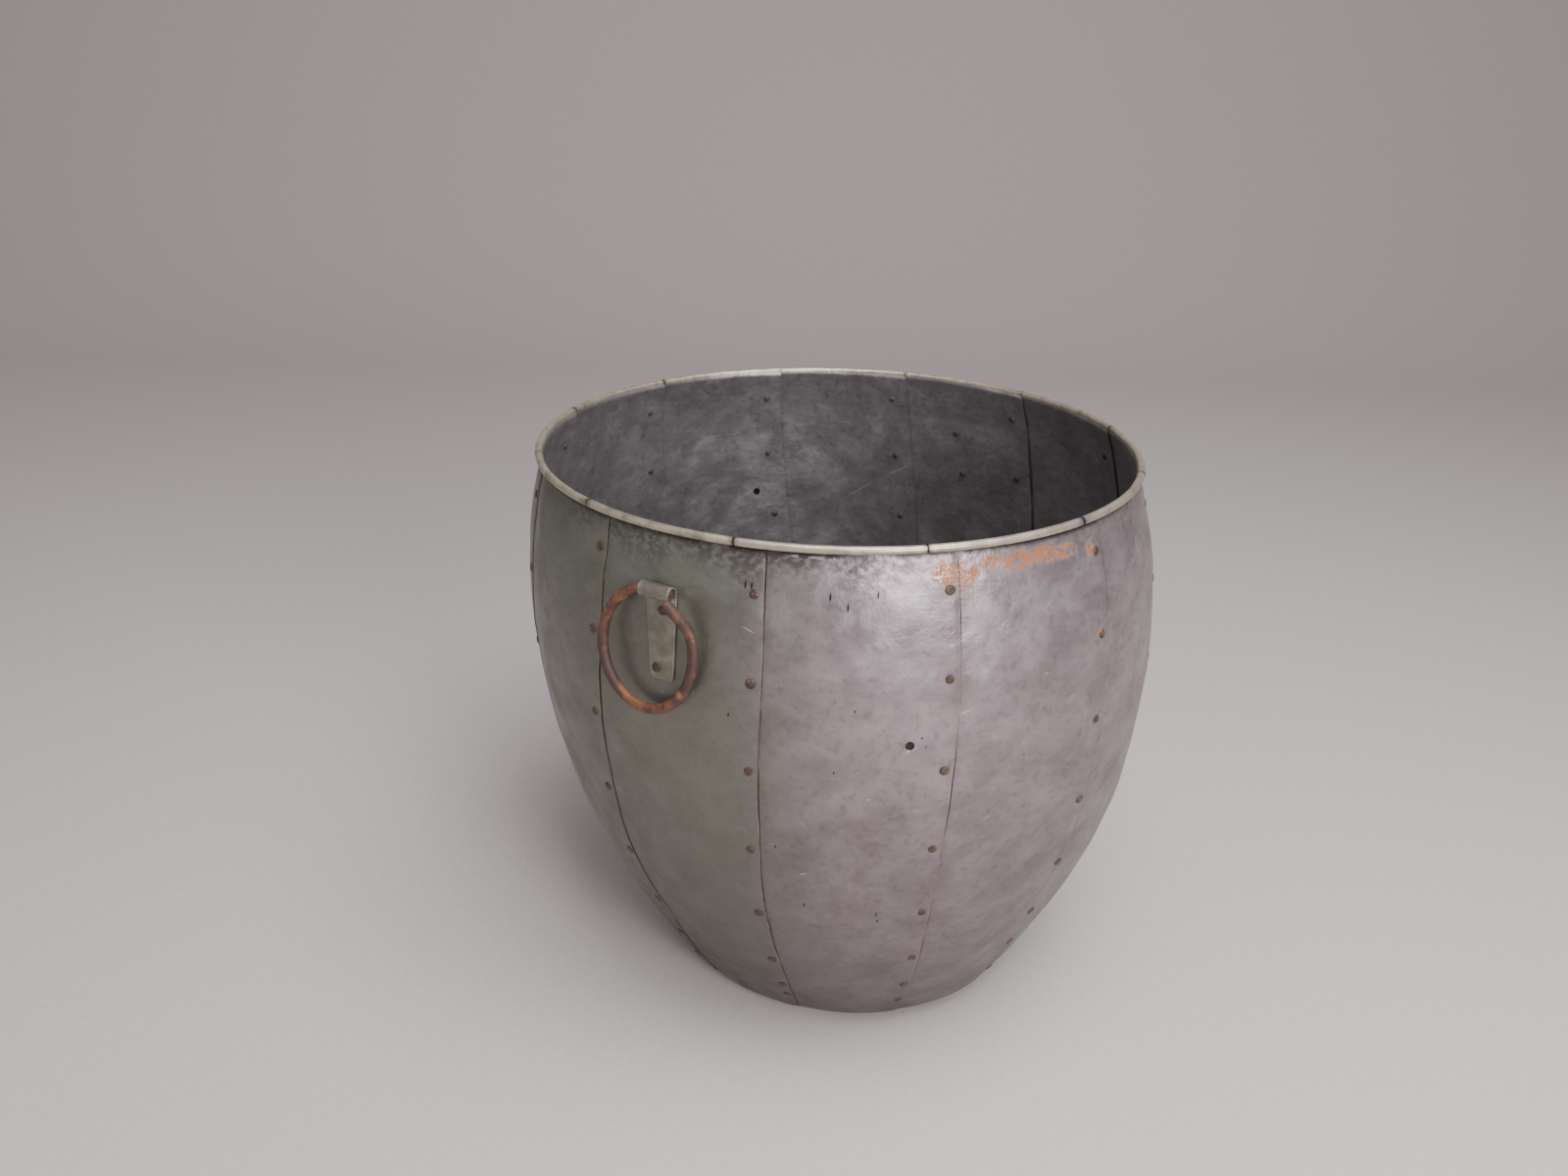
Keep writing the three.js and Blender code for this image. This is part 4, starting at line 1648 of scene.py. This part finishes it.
    def ring_line(self) -> Array:
        """The ring's centre line about its hinge: straight in the sleeve, then a tall oval."""
        straight = np.linspace(*self.straight_mm, 12)[:, None] * MM * np.array([[0, 1, 0]])
        turn = np.radians(np.linspace(self.start_turn, self.end_turn, 150))
        lift = np.where(turn > math.pi, self.end_lift, 0)
        y = self.shift - self.half_width * np.sin(turn)
        z = lift - (self.drop + lift) / 2 * (1 - np.cos(turn))
        x = self.end_out * smoothstep(self.end_turn - self.end_bend, self.end_turn, np.degrees(turn))
        oval = np.stack([x, y, z], axis=1)
        rough = np.vstack([straight, oval])
        length = run_length(rough)
        even = np.linspace(0, length[-1], 190)
        line = np.stack([np.interp(even, length, rough[:, i]) for i in range(3)], axis=1)
        for _ in range(4):
            line[1:-1] = (line[:-2] + 2 * line[1:-1] + line[2:]) / 4
        return line

    def rest_lean(self, side: Side) -> float:
        """Angle that the hanging ring leans outward, from the CAD ring's own box."""
        low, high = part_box(f"ring_handle_{side.value}")
        hinge = self.hinge(side)
        reach = high.x - hinge.x if side is Side.RIGHT else hinge.x - low.x
        return math.atan2(reach - self.rod, self.drop)

    def build_ring(self, side: Side) -> bpy.types.Object:
        """Builds one ring.

        Args:
            side: Which handle.

        Returns:
            The ring's object.
        """
        lean = Matrix.Rotation(-self.rest_lean(side), 3, "Y")
        turn = Matrix.Rotation(0 if side is Side.RIGHT else math.pi, 3, "Z")
        pose = np.array(turn @ lean)
        line = self.ring_line() @ pose.T + np.array(self.hinge(side))
        tree = RodTree(self.ring_rust)
        name = f"ring_rod_{side.value}"
        ring = tree.sweep(name, line, self.rod, self.unevenness, closed=False)
        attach(ring, f"ring_{side.value}")
        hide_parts(f"ring_handle_{side.value}")
        return ring

    def build(self) -> list[bpy.types.Object]:
        """Builds both hangers and both rings.

        Returns:
            Their objects.
        """
        return [make(side) for side in Side for make in (self.build_hanger, self.build_ring)]


# ---- Rim wire --------------------------------------------------------------------------------
def build_rim_wire(vessel: Vessel, material: bpy.types.Material) -> bpy.types.Object:
    """Builds the round wire inside the rolled rim.

    Args:
        vessel: The vessel's shape.
        material: Bare iron.

    Returns:
        The wire's object.
    """
    low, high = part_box("rim_wire")
    turns = np.linspace(0, 360, 240, endpoint=False)
    line = vessel.place(turns, vessel.rim_radius, vessel.rim_height)
    rod = RodTree(material, sides=12)
    wire = rod.sweep("rim_wire_round", line, (high.z - low.z) / 2, 0.0, closed=True)
    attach(wire, "vessel")
    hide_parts("rim_wire")
    return wire


# ---- Studio ----------------------------------------------------------------------------------
@dataclass(frozen=True)
class Studio:
    """A plain pale floor, soft light, and the camera above the bucket's left-hand handle side.

    The camera's distance and height are in rim radii, its angles in degrees and its lens in
    millimetres. The floor's sizes are in metres.
    """

    vessel: Vessel
    azimuth: float = -152.2
    distance: float = 4.045
    above_rim: float = 1.2173
    turn: float = 2.464
    pitch: float = 23.62
    roll: float = 1.10
    lens: float = 28.3
    floor_depth: float = 2.6
    sweep_radius: float = 1.4

    def build(self) -> None:
        """Builds the floor, the lights and the camera."""
        self.floor()
        self.lights()
        self.camera()

    def floor(self) -> None:
        """Lays a pale floor that sweeps up into a backdrop, square to the camera."""
        bend = np.radians(np.linspace(0, 90, 16))
        front, rear, top = -6.0, self.floor_depth + self.sweep_radius, 6.0
        away = np.concatenate([[front], self.floor_depth + self.sweep_radius * np.sin(bend), [rear]])
        up = np.concatenate([[0.0], self.sweep_radius * (1 - np.cos(bend)), [top]])
        turn = math.radians(self.azimuth + 180 + self.turn)
        ahead = np.array([math.cos(turn), math.sin(turn)])
        beside = np.array([-math.sin(turn), math.cos(turn)])
        half_width = 9.0
        columns = [
            np.column_stack([np.outer(away, ahead) + side * beside, up]) for side in (-half_width, half_width)
        ]
        count = len(away)
        faces = [(i, i + count, i + count + 1, i + 1) for i in range(count - 1)]
        floor = make_piece("studio_floor", np.vstack(columns), faces)
        paint = Paint.start("pale_studio_floor", 0.85, 0.0)
        paint.link("Base Color", paint.lay("cdc5c4", "c9c0bf", paint.grain(8, 0.3, 0.7)))
        floor.data.materials.append(paint.material)

    def lights(self) -> None:
        """Hangs a big soft light to the right of the camera, another overhead, and a weak fill."""
        world = bpy.data.worlds.new("studio")
        bpy.context.scene.world = world
        world.use_nodes = True
        sky = world.node_tree.nodes["Background"].inputs
        sky["Color"].default_value = linear("d2d2d0")
        sky["Strength"].default_value = 0.55
        self.area("key", azimuth=-124, distance=2.3, height=1.2, size=0.8, watts=42)
        self.area("overhead", azimuth=-120, distance=0.9, height=2.6, size=1.6, watts=75)
        self.area("fill", azimuth=150, distance=3.0, height=1.6, size=2.0, watts=8)

    def area(
        self,
        name: str,
        azimuth: float,
        distance: float,
        height: float,
        size: float,
        watts: float,
    ) -> None:
        """Adds one square soft light aimed at the belly.

        Args:
            name: The light's name.
            azimuth: Where it stands round the bucket, in degrees.
            distance: How far from the centre line.
            height: Its height.
            size: Its side.
            watts: Its power.
        """
        light = bpy.data.lights.new(name, "AREA")
        light.energy = watts
        light.size = size
        lamp = bpy.data.objects.new(name, light)
        angle = math.radians(azimuth)
        lamp.location = (distance * math.cos(angle), distance * math.sin(angle), height)
        aim = Vector((0, 0, 0.3)) - lamp.location
        lamp.rotation_euler = aim.to_track_quat("-Z", "Y").to_euler()
        bpy.context.scene.collection.objects.link(lamp)

    def camera(self) -> None:
        """Places the camera, its distances counted in rim radii from the rim's centre."""
        shape = self.vessel
        unit = shape.rim_radius
        centre = Vector((shape.lean[0], shape.lean[1], 1.0)) * shape.rim_height
        angle = math.radians(self.azimuth)
        out = Vector((math.cos(angle), math.sin(angle), 0.0))
        eye = centre + out * (self.distance * unit) + Vector((0, 0, self.above_rim * unit))
        heading = math.radians(self.azimuth + 180 + self.turn)
        level = Vector((math.cos(heading), math.sin(heading), 0.0))
        down = math.radians(self.pitch)
        look = level * math.cos(down) - Vector((0, 0, math.sin(down)))
        right = look.cross(Vector((0, 0, 1))).normalized()
        up = right.cross(look)
        tilt = Matrix.Rotation(math.radians(-self.roll), 3, look)
        right, up = tilt @ right, tilt @ up
        camera_data = bpy.data.cameras.new("camera")
        camera_data.lens = self.lens
        camera_data.sensor_width = 36.0
        camera = bpy.data.objects.new("camera", camera_data)
        camera.matrix_world = Matrix((
            (right.x, up.x, -look.x, eye.x),
            (right.y, up.y, -look.y, eye.y),
            (right.z, up.z, -look.z, eye.z),
            (0, 0, 0, 1),
        ))
        bpy.context.scene.collection.objects.link(camera)
        bpy.context.scene.camera = camera


def main() -> None:
    """Builds the bucket and the studio."""
    logging.basicConfig(level=logging.INFO)
    vessel = measure_vessel()
    Studio(vessel).build()
    finishes = Finishes(vessel)
    handles = Handles(vessel, finishes.strap_zinc, finishes.ring_rust)
    rivets = Rivets(vessel, finishes.rivet_iron)
    pieces = Gores(vessel, finishes.zinc, rivets.seam_spots()).build()
    pieces.append(BasePan(vessel, finishes.shaded_pan_zinc).build())
    pieces.append(build_rim_wire(vessel, finishes.wire_iron))
    pieces += handles.build()
    pieces += rivets.build(handles)
    for piece in pieces:
        LOG.info("%s: %d faces", piece.name, len(piece.data.polygons))


if __name__ == "__main__":
    main()
